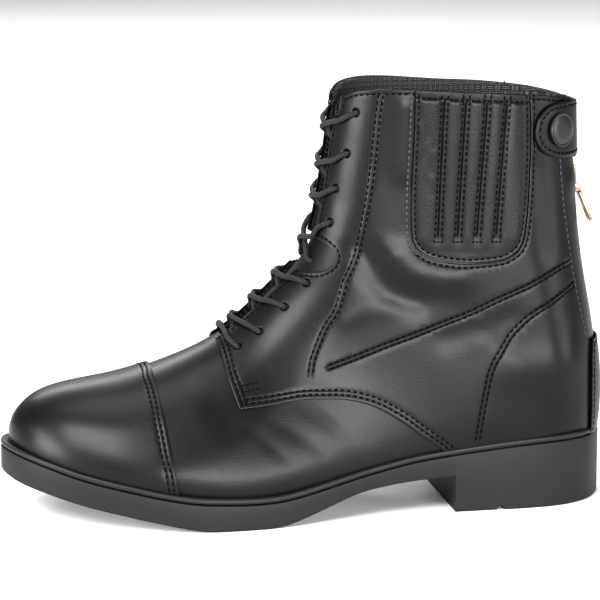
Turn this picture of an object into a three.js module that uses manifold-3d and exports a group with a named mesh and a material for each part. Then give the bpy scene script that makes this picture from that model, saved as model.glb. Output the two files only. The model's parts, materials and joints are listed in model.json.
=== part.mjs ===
import * as THREE from "three";
import { mergeVertices } from "three/addons/utils/BufferGeometryUtils.js";
import Module from "manifold-3d";

// Ankle-high lace and zip riding boot for the left foot, in millimetres.
// Toe at -X, heel at +X, outer side at -Y, inner side at +Y, Z up, floor at Z 0.

const wasm = await Module();
wasm.setup();

// Named sizes
const SOLE_LENGTH = 286;
const BALL_WIDTH = 98;
const SHAFT_HEIGHT = 198;
const SEAT_HEIGHT = 34;
const GAP = 0.3;
const WALL = 1.9;
const OVERLAY = 1.1;
const SIDE_LEDGE = 4;
const TOE_LEDGE = 5.1;
const HEEL_LEDGE = 4.2;
const WELT_THICK = 2.6;
const WELT_WIDTH = 10;
const SOLE_BEVEL = 1;
const HEEL_FRONT = 0.73;
const HEEL_GROOVE_AT = 0.806;
const HEEL_GROOVE_WIDE = 3.6;
const HEEL_GROOVE_DEEP = 1.8;
const INSOLE_THICK = 3;
const TONGUE_THICK = 1.8;
const LACE_D = 3;
const EYELET_D = 4;
const EYELET_SIDES = 6;
const SLIT_WIDE = 0.9;
const SLIT_DEEP = 0.7;
const BACKSTAY_THICK = 1.2;
const TAB_THICK = 1.7;
const SNAP_D = 16;
const SNAP_THICK = 1.6;
const ZIP_WIDE = 15;
const ZIP_BOTTOM = 0.4;
const TEETH_WIDE = 4.6;
const TEETH_RISE = 0.8;
const SLIDER_WIDE = 7.4;
const SLIDER_TALL = 12;
const SLIDER_THICK = 1.6;
const PIN_D = 1.2;
const PULL_LONG = 17.5;
const PULL_WIDE = 6;
const PULL_THICK = 1.8;
const PULL_LEAN = 23;
const PULL_SLOT = 0.35;

// Offsets of the layers from the lasted surface
const OVER_IN = GAP;
const OVER_OUT = GAP + OVERLAY;
const STAY_IN = OVER_OUT + GAP;
const STAY_OUT = STAY_IN + BACKSTAY_THICK;
const TAB_IN = OVER_OUT + GAP;
const TAB_OUT = TAB_IN + TAB_THICK;
const SNAP_IN = TAB_OUT + GAP + 0.4;
const SNAP_OUT = SNAP_IN + SNAP_THICK;
const LACE_LIFT = OVER_OUT + GAP + 0.5 + LACE_D / 2;

// Plan outline of the sole, shares of BALL_WIDTH from the centre line, toe to heel.
// The rows stand at equal steps round a half circle, so both ends come out round.
const OUTLINE_COLUMNS = ["outer", "inner"];
const OUTLINE = [
  [0.0612, 0.0612],
  [-0.0612, 0.1735],
  [-0.199, 0.2857],
  [-0.3112, 0.3806],
  [-0.401, 0.4429],
  [-0.4714, 0.4776],
  [-0.5112, 0.4827],
  [-0.502, 0.4388],
  [-0.45, 0.3694],
  [-0.3908, 0.3163],
  [-0.3551, 0.3082],
  [-0.3429, 0.3204],
  [-0.3388, 0.3265],
  [-0.3061, 0.3051],
  [-0.2224, 0.2367],
  [-0.1, 0.1286],
  [0.0122, 0.0122],
];

// Side profile of the sole: x in shares of SOLE_LENGTH, heights in shares of SEAT_HEIGHT.
const PROFILE_COLUMNS = ["x", "top", "bottom"];
const PROFILE = [
  [0.0, 1.03, 0.6],
  [0.025, 0.99, 0.53],
  [0.066, 0.9, 0.45],
  [0.122, 0.765, 0.33],
  [0.196, 0.63, 0.2],
  [0.255, 0.53, 0.095],
  [0.3, 0.475, 0.022],
  [0.335, 0.455, 0.0],
  [0.375, 0.44, 0.0],
  [0.415, 0.44, 0.0],
  [0.445, 0.46, 0.03],
  [0.48, 0.51, 0.12],
  [0.52, 0.585, 0.24],
  [0.565, 0.67, 0.37],
  [0.61, 0.745, 0.435],
  [0.66, 0.82, 0.475],
  [0.72, 0.88, 0.5],
  [0.79, 0.94, 0.5],
  [0.85, 0.985, 0.5],
  [0.92, 1.005, 0.5],
  [1.0, 1.0, 0.5],
];

// Sections of the upper, toe to collar. Each runs from a back or bottom point to a top or front one.
// x in shares of SOLE_LENGTH, z in shares of SHAFT_HEIGHT, half widths in shares of BALL_WIDTH,
// cap lengths in shares of the section's own length, powers shape the two rounded ends.
const SECTION_COLUMNS = [
  "topX",
  "topZ",
  "backX",
  "backZ",
  "backWidth",
  "frontWidth",
  "backCap",
  "frontCap",
  "backPower",
  "frontPower",
  "crestShift",
];
const SECTIONS = [
  [0.0175, 0.1869, 0.0178, 0.1465, 0.0, 0.0, 0.3, 0.7, 2.2, 2.2, 0.0612],
  [0.0196, 0.2096, 0.0203, 0.1455, 0.0565, 0.0549, 0.3, 0.7, 2.2, 2.2, 0.0612],
  [0.0266, 0.2323, 0.0273, 0.1434, 0.1121, 0.1088, 0.3, 0.7, 2.2, 2.2, 0.0612],
  [0.0399, 0.2535, 0.0409, 0.1389, 0.1809, 0.1756, 0.3, 0.72, 2.2, 2.2, 0.0612],
  [0.0608, 0.2758, 0.0629, 0.1293, 0.2527, 0.2453, 0.3, 0.75, 2.2, 2.25, 0.0612],
  [0.0927, 0.2919, 0.0944, 0.1152, 0.3225, 0.3101, 0.3, 0.78, 2.2, 2.3, 0.0561],
  [0.1346, 0.303, 0.1364, 0.1, 0.3802, 0.3656, 0.3, 0.8, 2.2, 2.3, 0.051],
  [0.1836, 0.3141, 0.1871, 0.0838, 0.4303, 0.4098, 0.3, 0.8, 2.2, 2.25, 0.0459],
  [0.2395, 0.3364, 0.2517, 0.0672, 0.466, 0.4349, 0.28, 0.78, 2.2, 2.15, 0.0408],
  [0.2902, 0.3636, 0.3252, 0.052, 0.4786, 0.433, 0.26, 0.72, 2.2, 2.1, 0.0357],
  [0.3434, 0.399, 0.4021, 0.0505, 0.4553, 0.3903, 0.24, 0.62, 2.2, 2.05, 0.0306],
  [0.3965, 0.4576, 0.486, 0.0646, 0.4038, 0.3153, 0.22, 0.5, 2.2, 2.0, 0.0204],
  [0.442, 0.5268, 0.5734, 0.0909, 0.3475, 0.274, 0.2, 0.4, 2.2, 2.0, 0.0122],
  [0.4769, 0.5778, 0.6608, 0.1162, 0.3202, 0.2709, 0.2, 0.33, 2.2, 2.0, 0.0061],
  [0.4979, 0.6192, 0.7448, 0.1338, 0.3221, 0.2795, 0.2, 0.29, 2.2, 2.0, 0.002],
  [0.5105, 0.6616, 0.8252, 0.1424, 0.3286, 0.2825, 0.21, 0.26, 2.2, 2.05, 0.0],
  [0.5175, 0.7005, 0.8951, 0.1475, 0.3327, 0.2796, 0.22, 0.24, 2.2, 2.05, 0.0],
  [0.5217, 0.7333, 0.9476, 0.149, 0.3357, 0.2796, 0.232, 0.22, 2.16, 2.1, 0.0],
  [0.5252, 0.7591, 0.9755, 0.1475, 0.3367, 0.2796, 0.24, 0.21, 2.1, 2.1, 0.0],
  [0.528, 0.7828, 0.985, 0.1515, 0.3367, 0.2796, 0.247, 0.2, 2.03, 2.1, 0.0],
  [0.5315, 0.8131, 0.9909, 0.2172, 0.3367, 0.2806, 0.262, 0.2, 2.0, 2.15, 0.0],
  [0.535, 0.8434, 0.9909, 0.2929, 0.3337, 0.2816, 0.28, 0.2, 2.0, 2.15, 0.0],
  [0.5378, 0.8737, 0.9843, 0.3788, 0.3265, 0.2837, 0.302, 0.21, 2.0, 2.15, 0.0],
  [0.5409, 0.904, 0.9734, 0.4697, 0.3184, 0.2867, 0.33, 0.22, 2.0, 2.2, 0.0],
  [0.5437, 0.9369, 0.9598, 0.5707, 0.3122, 0.2918, 0.35, 0.23, 2.0, 2.2, 0.0],
  [0.5465, 0.9697, 0.95, 0.6869, 0.3082, 0.299, 0.37, 0.25, 2.0, 2.2, 0.0],
  [0.549, 1.0, 0.9434, 0.8081, 0.3041, 0.3082, 0.39, 0.27, 2.0, 2.2, 0.0],
  [0.5524, 1.0328, 0.9399, 0.9293, 0.302, 0.3163, 0.41, 0.28, 2.0, 2.2, 0.0],
  [0.5577, 1.0758, 0.9388, 1.0455, 0.301, 0.3214, 0.42, 0.29, 2.0, 2.2, 0.0],
];
// From this row on the back points lie on the back seam, so the section is a closed ring.
const FIRST_RING = 19;

// Lace opening: section row and half width in shares of BALL_WIDTH.
const THROAT_COLUMNS = ["row", "half"];
const THROAT = [
  [9.8, 0.062],
  [10.5, 0.072],
  [12.0, 0.088],
  [14.0, 0.098],
  [18.0, 0.08],
  [22.0, 0.075],
  [25.0, 0.1],
  [26.5, 0.118],
  [28.0, 0.118],
];

// Row where the opening in the vamp begins, under the front ends of the facings
const THROAT_BASE = 10.3;

// Outlines seen from the side: x in shares of SOLE_LENGTH, z in shares of SHAFT_HEIGHT.
const TOE_CAP_EDGE = [
  [0.2458, 0.4242],
  [0.2458, 0.347],
  [0.2441, 0.3268],
  [0.2479, 0.2919],
  [0.2531, 0.2424],
  [0.2591, 0.1803],
  [0.2664, 0.1141],
  [0.2713, 0.0707],
];
const DERBY_FRONT = [
  [0.351, 0.5051],
  [0.351, 0.4242],
  [0.3517, 0.3909],
  [0.3559, 0.3495],
  [0.364, 0.3086],
  [0.3724, 0.2687],
];
const DERBY_LOWER = [
  [0.3724, 0.2687],
  [0.4217, 0.2753],
  [0.471, 0.2843],
  [0.5122, 0.2838],
  [0.5531, 0.2788],
  [0.5944, 0.2611],
  [0.6353, 0.2273],
  [0.6685, 0.1914],
  [0.6958, 0.1631],
  [0.7238, 0.1313],
];
const COLLAR = [
  [0.3951, 0.9404],
  [0.5413, 0.9404],
  [0.5451, 0.9566],
  [0.5542, 0.9778],
  [0.5713, 0.9949],
  [0.6066, 1.003],
  [0.657, 1.002],
  [0.7416, 0.9929],
  [0.8112, 0.9874],
  [0.8825, 0.9778],
  [0.9231, 0.9667],
  [0.9524, 0.954],
  [1.0594, 0.9343],
];
const NOTCH = [
  [0.4161, 0.6263],
  [0.472, 0.6591],
  [0.5052, 0.6616],
  [0.5175, 0.6439],
  [0.528, 0.6343],
  [0.5357, 0.6222],
  [0.5381, 0.6061],
  [0.5329, 0.5889],
  [0.5196, 0.5758],
  [0.5035, 0.5707],
  [0.486, 0.5697],
  [0.4685, 0.5631],
  [0.4161, 0.5455],
];
const STRETCH_PANEL = [
  [0.657, 1.0859],
  [0.657, 0.998],
  [0.657, 0.9],
  [0.6542, 0.7667],
  [0.6549, 0.6758],
  [0.6612, 0.6354],
  [0.686, 0.6071],
  [0.7392, 0.5929],
  [0.7857, 0.5939],
  [0.8175, 0.6051],
  [0.8395, 0.6434],
  [0.8486, 0.7601],
  [0.8514, 0.8924],
  [0.849, 0.9864],
  [0.849, 1.0859],
];
// Slits of the pleated panel, each from its top to its bottom end.
const SLITS = [
  [[0.707, 0.965], [0.6993, 0.649]],
  [[0.7427, 0.965], [0.7311, 0.648]],
  [[0.7783, 0.965], [0.7622, 0.647]],
  [[0.8101, 0.96], [0.7941, 0.646]],
];
const SNAP_TAB = [
  [0.8549, 0.8985],
  [0.8615, 0.9293],
  [0.879, 0.9525],
  [0.9056, 0.9611],
  [0.9294, 0.9611],
  [1.0245, 0.9586],
  [1.0245, 0.8303],
  [0.9294, 0.8293],
  [0.9101, 0.8293],
  [0.8867, 0.8354],
  [0.8671, 0.8515],
  [0.8566, 0.8763],
];
const BACKSTAY = [
  [0.965, 0.12],
  [0.9625, 0.2],
  [0.9605, 0.28],
  [0.961, 0.34],
  [0.9645, 0.3889],
  [1.05, 0.3889],
  [1.05, 0.12],
];
const SNAP_AT = [0.8993, 0.896];
// Punched lace holes, top pair first.
const EYELETS = [
  [0.572, 0.946],
  [0.5591, 0.85],
  [0.543, 0.7667],
  [0.5336, 0.6869],
  [0.4937, 0.5455],
  [0.4573, 0.4894],
  [0.4154, 0.4323],
  [0.3801, 0.3975],
];
const SLIDER_AT = 0.768;
const HINGE_DROP = 0.42;

// Smooth value of one table column at a row position between whole rows
function column(table, k, t) {
  const last = table.length - 1;
  const i = Math.min(Math.max(Math.floor(t), 0), last - 1);
  const f = t - i;
  const at = (n) => {
    if (n < 0) return 2 * table[0][k] - table[1][k];
    if (n > last) return 2 * table[last][k] - table[last - 1][k];
    return table[n][k];
  };
  const [a, b, c, d] = [at(i - 1), at(i), at(i + 1), at(i + 2)];
  return b + 0.5 * f * (c - a + f * (2 * a - 5 * b + 4 * c - d + f * (3 * (b - c) + d - a)));
}

const clamp = (n) => Math.min(Math.max(n, 0), 1);
const easeIn = (n) => clamp(n) ** 2 * (3 - 2 * clamp(n));

// Straight value of column k at key in column 0
function between(table, k, key) {
  const last = table.length - 1;
  if (key <= table[0][0]) return table[0][k];
  for (let i = 0; i < last; i += 1) {
    const [lo, hi] = [table[i][0], table[i + 1][0]];
    if (key <= hi) return table[i][k] + ((table[i + 1][k] - table[i][k]) * (key - lo)) / (hi - lo);
  }
  return table[last][k];
}

const halfLength = SOLE_LENGTH / 2;
const sideX = (share) => (share - 0.5) * SOLE_LENGTH;
const sideZ = (share) => share * SHAFT_HEIGHT;
const sidePoints = (table) => table.map(([x, z]) => [sideX(x), sideZ(z)]);

// Half circle share for a place along the sole
function turnAt(x) {
  const c = Math.min(Math.max(-x / halfLength, -1), 1);
  return (Math.acos(c) / Math.PI) * (OUTLINE.length - 1);
}
const outer = OUTLINE_COLUMNS.indexOf("outer");
const inner = OUTLINE_COLUMNS.indexOf("inner");

// Outer and inner edge of the upper where it meets the welt
function featherAt(x) {
  const ledge = x < 0 ? TOE_LEDGE : HEEL_LEDGE;
  const t = turnAt((x * halfLength) / (halfLength - ledge));
  const shrink = (1 - SIDE_LEDGE / (BALL_WIDTH / 2)) * BALL_WIDTH;
  return [column(OUTLINE, outer, t) * shrink, column(OUTLINE, inner, t) * shrink];
}

// Height of the sole's top or bottom at a place along it
function profileAt(name, x) {
  const k = PROFILE_COLUMNS.indexOf(name);
  return between(fineProfile, k, x / SOLE_LENGTH + 0.5) * SEAT_HEIGHT;
}
const fineProfile = [];
for (let i = 0; i <= 4 * (PROFILE.length - 1); i += 1) {
  fineProfile.push([0, 1, 2].map((k) => column(PROFILE, k, i / 4)));
}
// Both lines of the profile are straight between these places, shared by all that meet the sole
const KNOTS = 20;
const knots = [];
for (let i = 0; i <= KNOTS; i += 1) knots.push(-halfLength * Math.cos((Math.PI * i) / KNOTS));
const soleLines = knots.map((x) => [x, profileAt("top", x), Math.max(0, profileAt("bottom", x))]);
const soleTop = (x) => between(soleLines, 1, x);
const soleBottom = (x) => between(soleLines, 2, x);

// Numbers of one upper section in millimetres
function sectionAt(t) {
  const v = {};
  SECTION_COLUMNS.forEach((name, k) => {
    v[name] = column(SECTIONS, k, t);
  });
  const ring = t >= FIRST_RING;
  const s = {
    top: [sideX(v.topX), sideZ(v.topZ)],
    back: [sideX(v.backX), sideZ(v.backZ)],
    ...v,
  };
  const [out, inn] = featherAt(s.back[0]);
  s.foot = ring ? 0 : (inn - out) / 2;
  s.footShift = ((inn + out) / 2) * (ring ? Math.max(0, 1 - (t - FIRST_RING) / 5) : 1);
  s.crest = v.crestShift * BALL_WIDTH;
  s.shiftReach = 1 - 0.65 * easeIn((t - 14) / 4);
  s.wide = Math.max(v.backWidth * BALL_WIDTH, s.foot * 1.001);
  s.front = v.frontWidth * BALL_WIDTH;
  const share = s.wide > 0 ? Math.min(s.foot / s.wide, 1) : 0;
  s.start = 1 - (1 - share ** v.backPower) ** (1 / v.backPower);
  return s;
}

// Half width of a section a share q of the way from its back to its top
function halfWidth(s, q) {
  const back = clamp(s.start + (q / s.backCap) * (1 - s.start));
  const front = clamp((q - (1 - s.frontCap)) / s.frontCap);
  const backRound = (1 - (1 - back) ** s.backPower) ** (1 / s.backPower);
  const frontRound = (1 - front ** s.frontPower) ** (1 / s.frontPower);
  const mix = clamp((q - s.backCap / 2) / (1 - s.frontCap / 2 - s.backCap / 2));
  return (s.wide + (s.front - s.wide) * easeIn(mix)) * backRound * frontRound;
}

// Point of a section at share q, on the outer side for side -1 and the inner side for side 1
function sectionPoint(s, q, side) {
  const middle = s.footShift * (1 - easeIn(q / s.shiftReach)) + s.crest * easeIn(q);
  return new THREE.Vector3(
    s.back[0] + (s.top[0] - s.back[0]) * q,
    middle + side * halfWidth(s, q),
    s.back[1] + (s.top[1] - s.back[1]) * q,
  );
}

// Shares that spread the points of a section over its length and its turns
const DENSE = 160;
function spread(s, count) {
  const long = Math.hypot(s.top[0] - s.back[0], s.top[1] - s.back[1]);
  const q = [];
  for (let i = 0; i <= DENSE; i += 1) q.push(0.5 - 0.5 * Math.cos((Math.PI * i) / DENSE));
  const w = q.map((share) => halfWidth(s, share));
  const steps = [];
  const turns = [];
  for (let i = 0; i < DENSE; i += 1) {
    const [da, dw] = [(q[i + 1] - q[i]) * long, w[i + 1] - w[i]];
    steps.push(Math.hypot(da, dw));
    turns.push(Math.atan2(dw, da));
  }
  const total = steps.reduce((a, b) => a + b, 0);
  const sum = [0];
  for (let i = 0; i < DENSE; i += 1) {
    const j = Math.max(i, 1);
    const turn = Math.min(Math.abs(turns[j] - turns[j - 1]), 0.2);
    sum.push(sum[i] + steps[i] / total + turn / Math.PI);
  }
  const found = [];
  let i = 0;
  for (let n = 0; n <= count; n += 1) {
    const want = (sum[DENSE] * n) / count;
    while (i < DENSE - 1 && sum[i + 1] < want) i += 1;
    const f = Math.min(Math.max((want - sum[i]) / (sum[i + 1] - sum[i]), 0), 1);
    found.push(q[i] + (q[i + 1] - q[i]) * f);
  }
  return found;
}

// Grid of points on the lasted surface with their normals
const rowPlace = [0, 1, 2, 3.1, 4.3, 5.6, 7, 8.3, 9.5, 10.6, 11.7, 12.8, 14, 15.2, 16.4, 17.5, 18.3, 19]
  .concat([20.2, 21.5, 22.9, 24.4, 26, 28]);
const ROWS = rowPlace.length;
const SIDE_POINTS = 9;
const COLUMNS = 2 * SIDE_POINTS + 1;
const lastRow = SECTIONS.length - 1;
const grid = rowPlace.map((t) => {
  const s = sectionAt(t);
  const q = spread(s, SIDE_POINTS);
  const line = [];
  for (let j = 0; j <= SIDE_POINTS; j += 1) line.push(sectionPoint(s, q[j], -1));
  for (let j = SIDE_POINTS - 1; j >= 0; j -= 1) line.push(sectionPoint(s, q[j], 1));
  return line;
});
const gridNormal = grid.map((line, i) =>
  line.map((p, j) => {
    if (i === 0) return new THREE.Vector3(-1, 0, 0);
    const up = grid[Math.min(i + 1, ROWS - 1)][j].clone().sub(grid[Math.max(i - 1, 0)][j]);
    const ring = rowPlace[i] >= FIRST_RING;
    const end = j === 0 || j === COLUMNS - 1;
    let across;
    if (end && ring) across = line[1].clone().sub(line[COLUMNS - 2]);
    else across = line[Math.min(j + 1, COLUMNS - 1)].clone().sub(line[Math.max(j - 1, 0)]);
    return up.cross(across).normalize();
  }),
);

// Closed solid from points and faces, with touching points joined and empty faces dropped
function solidFrom(points, faces) {
  const keys = new Map();
  const place = [];
  const index = points.map((p) => {
    const key = [p.x, p.y, p.z].map((n) => Math.round(n * 1e4)).join(",");
    if (!keys.has(key)) {
      keys.set(key, keys.size);
      place.push(p.x, p.y, p.z);
    }
    return keys.get(key);
  });
  const kept = [];
  faces.forEach(([a, b, c]) => {
    const [i, j, k] = [index[a], index[b], index[c]];
    if (i !== j && j !== k && k !== i) kept.push(i, j, k);
  });
  const build = (list) =>
    new wasm.Manifold(
      new wasm.Mesh({
        numProp: 3,
        vertProperties: new Float32Array(place),
        triVerts: new Uint32Array(list),
      }),
    );
  const made = build(kept);
  if (made.volume() > 0) return made;
  for (let i = 0; i < kept.length; i += 3) [kept[i + 1], kept[i + 2]] = [kept[i + 2], kept[i + 1]];
  return build(kept);
}

// Filled body of the upper with its surface moved out by lift
const forms = new Map();
function form(lift) {
  const name = lift.toFixed(4);
  if (forms.has(name)) return forms.get(name);
  const points = [];
  grid.forEach((line, i) => {
    line.forEach((p, j) => points.push(p.clone().addScaledVector(gridNormal[i][j], lift)));
  });
  const id = (i, j) => i * COLUMNS + j;
  const faces = [];
  const quad = (a, b, c, d) => faces.push([a, b, c], [a, c, d]);
  for (let i = 0; i < ROWS - 1; i += 1) {
    for (let j = 0; j < COLUMNS - 1; j += 1) {
      const corners = [id(i, j), id(i + 1, j), id(i + 1, j + 1), id(i, j + 1)];
      if (j < SIDE_POINTS) quad(...corners);
      else quad(corners[1], corners[2], corners[3], corners[0]);
    }
    quad(id(i, COLUMNS - 1), id(i + 1, COLUMNS - 1), id(i + 1, 0), id(i, 0));
  }
  for (const i of [0, ROWS - 1]) {
    for (let j = 0; j < SIDE_POINTS; j += 1) {
      const k = COLUMNS - 1 - j;
      if (i === 0) quad(id(i, j), id(i, j + 1), id(i, k - 1), id(i, k));
      else quad(id(i, k), id(i, k - 1), id(i, j + 1), id(i, j));
    }
  }
  const made = solidFrom(points, faces);
  forms.set(name, made);
  return made;
}
const layer = (low, high) => form(high).subtract(form(low));

// Solid of a three.js geometry
function solidOf(geometry) {
  const plain = new THREE.BufferGeometry();
  const flat = geometry.index ? geometry.toNonIndexed() : geometry;
  plain.setAttribute("position", flat.getAttribute("position"));
  const merged = mergeVertices(plain, 1e-4);
  const place = merged.getAttribute("position");
  const points = [];
  for (let i = 0; i < place.count; i += 1) points.push(new THREE.Vector3().fromBufferAttribute(place, i));
  const faces = [];
  for (let i = 0; i < merged.index.count; i += 3) {
    faces.push([merged.index.getX(i), merged.index.getX(i + 1), merged.index.getX(i + 2)]);
  }
  return solidFrom(points, faces);
}

// Slab with an outline in one plane, pushed along its third axis
function slab(outline, axisU, axisV, from, to) {
  const shape = new THREE.Shape(outline.map(([u, v]) => new THREE.Vector2(u, v)));
  const geometry = new THREE.ExtrudeGeometry(shape, { depth: to - from, bevelEnabled: false });
  const third = axisU.clone().cross(axisV);
  geometry.applyMatrix4(new THREE.Matrix4().makeBasis(axisU, axisV, third));
  const shift = third.clone().multiplyScalar(from);
  geometry.translate(shift.x, shift.y, shift.z);
  return solidOf(geometry);
}
const X = new THREE.Vector3(1, 0, 0);
const Y = new THREE.Vector3(0, 1, 0);
const Z = new THREE.Vector3(0, 0, 1);
const sideSlab = (outline, low, high) => slab(outline, X, Z, -high, -low);
const backSlab = (outline, low, high) => slab(outline, Y, Z, low, high);

// Evenly smooth line through side points
function smoothLine(points, count) {
  const line = points.map(([x, z]) => new THREE.Vector3(x, z, 0));
  const curve = new THREE.CatmullRomCurve3(line, false, "centripetal");
  return curve.getPoints(count).map((p) => [p.x, p.y]);
}

// Flat solid with the sole's outline, from a place along it to the back. Each level has an inset
// from the outline and a height function.
function plate(levels, from = -halfLength) {
  const points = [];
  const faces = [];
  const ring = 2 * levels.length;
  const places = [from, ...knots.filter((x) => x > from + 1e-6)];
  places.forEach((x) => {
    const line = levels.map(({ inset, height }) => {
      const reach = halfLength - inset;
      const px = Math.min(Math.max(x, -reach), reach);
      const t = turnAt((px * halfLength) / reach);
      const shrink = (1 - inset / (BALL_WIDTH / 2)) * BALL_WIDTH;
      return { px, out: column(OUTLINE, outer, t) * shrink, inn: column(OUTLINE, inner, t) * shrink, z: height(px) };
    });
    line.forEach((p) => points.push(new THREE.Vector3(p.px, p.out, p.z)));
    [...line].reverse().forEach((p) => points.push(new THREE.Vector3(p.px, p.inn, p.z)));
  });
  const id = (i, j) => i * ring + (j % ring);
  const e = places.length - 1;
  for (let i = 0; i < e; i += 1) {
    for (let j = 0; j < ring; j += 1) {
      faces.push([id(i, j), id(i, j + 1), id(i + 1, j + 1)], [id(i, j), id(i + 1, j + 1), id(i + 1, j)]);
    }
  }
  for (let j = 0; j < levels.length - 1; j += 1) {
    const k = ring - 1 - j;
    faces.push([id(0, j), id(0, k), id(0, k - 1)], [id(0, j), id(0, k - 1), id(0, j + 1)]);
    faces.push([id(e, j), id(e, k - 1), id(e, k)], [id(e, j), id(e, j + 1), id(e, k - 1)]);
  }
  return solidFrom(points, faces);
}
const level = (inset, height) => ({ inset, height });

// Place on the lasted surface for a point of the side view, with its normal and section row
function onSide(x, z, side) {
  let best = null;
  const start = side < 0 ? 0 : SIDE_POINTS;
  for (let i = 0; i < ROWS - 1; i += 1) {
    for (let j = start; j < start + SIDE_POINTS; j += 1) {
      const corners = [[i, j], [i + 1, j], [i + 1, j + 1], [i, j + 1]];
      for (const pick of [[0, 1, 2], [0, 2, 3]]) {
        const [a, b, c] = pick.map((n) => grid[corners[n][0]][corners[n][1]]);
        const area = (b.x - a.x) * (c.z - a.z) - (c.x - a.x) * (b.z - a.z);
        if (Math.abs(area) < 1e-9) continue;
        const v = ((x - a.x) * (c.z - a.z) - (c.x - a.x) * (z - a.z)) / area;
        const w = ((b.x - a.x) * (z - a.z) - (x - a.x) * (b.z - a.z)) / area;
        if (v < -1e-6 || w < -1e-6 || v + w > 1 + 1e-6) continue;
        const u = 1 - v - w;
        const [na, nb, nc] = pick.map((n) => gridNormal[corners[n][0]][corners[n][1]]);
        const rows = pick.map((n) => rowPlace[corners[n][0]]);
        const point = a.clone().multiplyScalar(u).addScaledVector(b, v).addScaledVector(c, w);
        const normal = na.clone().multiplyScalar(u).addScaledVector(nb, v).addScaledVector(nc, w).normalize();
        const row = rows[0] * u + rows[1] * v + rows[2] * w;
        if (!best || Math.abs(point.y) > Math.abs(best.point.y)) best = { point, normal, row };
      }
    }
  }
  return best;
}

// Place on the front of a section a distance wide off its middle, lifted along the normal
function onFront(t, wide, lift) {
  const s = sectionAt(t);
  const side = Math.sign(wide) || 1;
  const solve = (row) => {
    let [low, high] = [1 - row.frontCap, 1];
    for (let n = 0; n < 40; n += 1) {
      const q = (low + high) / 2;
      if (halfWidth(row, q) > Math.abs(wide)) low = q;
      else high = q;
    }
    return (low + high) / 2;
  };
  const q = solve(s);
  const here = sectionPoint(s, q, side);
  const ahead = sectionAt(t + 0.05);
  const along = sectionPoint(ahead, solve(ahead), side).sub(here);
  const axis = new THREE.Vector3(s.top[0] - s.back[0], 0, s.top[1] - s.back[1]).normalize();
  const near = sectionPoint(s, q - 0.01, side);
  const round = Math.abs(wide) < 0.5 ? new THREE.Vector3(0, side, 0) : near.sub(here);
  const normal = along.clone().cross(round).normalize();
  if (normal.dot(axis) < 0) normal.negate();
  return here.addScaledVector(normal, lift);
}

// Round cord along points
function cord(points, thick, steps) {
  const curve = new THREE.CatmullRomCurve3(points, false, "centripetal");
  const ring = new THREE.Shape();
  const sides = 6;
  for (let i = 0; i < sides; i += 1) {
    const a = (2 * Math.PI * i) / sides;
    const [u, v] = [(Math.cos(a) * thick) / 2, (Math.sin(a) * thick) / 2];
    if (i === 0) ring.moveTo(u, v);
    else ring.lineTo(u, v);
  }
  ring.closePath();
  return solidOf(new THREE.ExtrudeGeometry(ring, { steps, extrudePath: curve, bevelEnabled: false }));
}

// Cylinder between two points
function rod(from, to, thick, sides) {
  const long = from.distanceTo(to);
  const geometry = new THREE.CylinderGeometry(thick / 2, thick / 2, long, sides);
  const turn = new THREE.Quaternion().setFromUnitVectors(Y, to.clone().sub(from).normalize());
  geometry.applyQuaternion(turn);
  const middle = from.clone().add(to).multiplyScalar(0.5);
  geometry.translate(middle.x, middle.y, middle.z);
  return solidOf(geometry);
}

// Shared cuts
const far = SOLE_LENGTH;
const topLine = (rise) => [-far / 2 - 9, ...knots, far / 2 + 9].map((x) => [x, soleTop(x) + rise]);
const underWelt = sideSlab([...topLine(GAP), [far / 2 + 9, -30], [-far / 2 - 9, -30]], -far, far);
const overCollar = sideSlab(
  [...smoothLine(sidePoints(COLLAR), 16), [far, SHAFT_HEIGHT * 2], [-far, SHAFT_HEIGHT * 2]],
  -far,
  far,
);
const notch = sideSlab(sidePoints(NOTCH), -far, far);

// Wedge of the lace opening between the two facings
function throatCut(extra, start, end) {
  const points = [];
  const faces = [];
  const steps = 12;
  for (let i = 0; i <= steps; i += 1) {
    const t = start + ((end - start) * i) / steps;
    const s = sectionAt(t);
    const half = between(THROAT, 1, t) * BALL_WIDTH + extra;
    const axis = new THREE.Vector3(s.top[0] - s.back[0], 0, s.top[1] - s.back[1]).normalize();
    const top = new THREE.Vector3(s.top[0], s.crest, s.top[1]);
    const high = top.clone().addScaledVector(axis, 12);
    const low = top.clone().addScaledVector(axis, -26);
    for (const [p, side] of [[low, -1], [high, -1], [high, 1], [low, 1]]) {
      points.push(p.clone().addScaledVector(Y, side * half));
    }
  }
  for (let i = 0; i < steps; i += 1) {
    for (let j = 0; j < 4; j += 1) {
      const [a, b] = [i * 4 + j, i * 4 + ((j + 1) % 4)];
      faces.push([a, b, b + 4], [a, b + 4, a + 4]);
    }
  }
  const e = steps * 4;
  faces.push([0, 2, 1], [0, 3, 2], [e, e + 1, e + 2], [e, e + 2, e + 3]);
  return solidFrom(points, faces);
}
const throat = throatCut(0, THROAT_BASE, lastRow);
const facingCut = throatCut(0, THROAT[0][0], lastRow);

// Slot for the zip down the back
const zipLow = sideZ(ZIP_BOTTOM);
function zipSlot(half, low, high) {
  const bend = half / 3;
  const outline = [
    [-half, high],
    [-half, low + bend],
    [-half + bend, low],
    [half - bend, low],
    [half, low + bend],
    [half, high],
  ];
  return backSlab(outline, halfLength * 0.55, halfLength * 1.2);
}
const zipOpening = zipSlot(ZIP_WIDE / 2, zipLow, SHAFT_HEIGHT * 1.2);

// Lace holes on both sides
const lacePlace = EYELETS.map(([x, z]) => [-1, 1].map((side) => onSide(sideX(x), sideZ(z), side)));
const holes = lacePlace.flatMap((pair) =>
  pair.map(({ point, normal }) =>
    rod(
      point.clone().addScaledVector(normal, -8),
      point.clone().addScaledVector(normal, 8),
      EYELET_D,
      EYELET_SIDES,
    ),
  ),
);
const holeCut = wasm.Manifold.union(holes);

// Pieces
const pieces = new Map();

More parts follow.
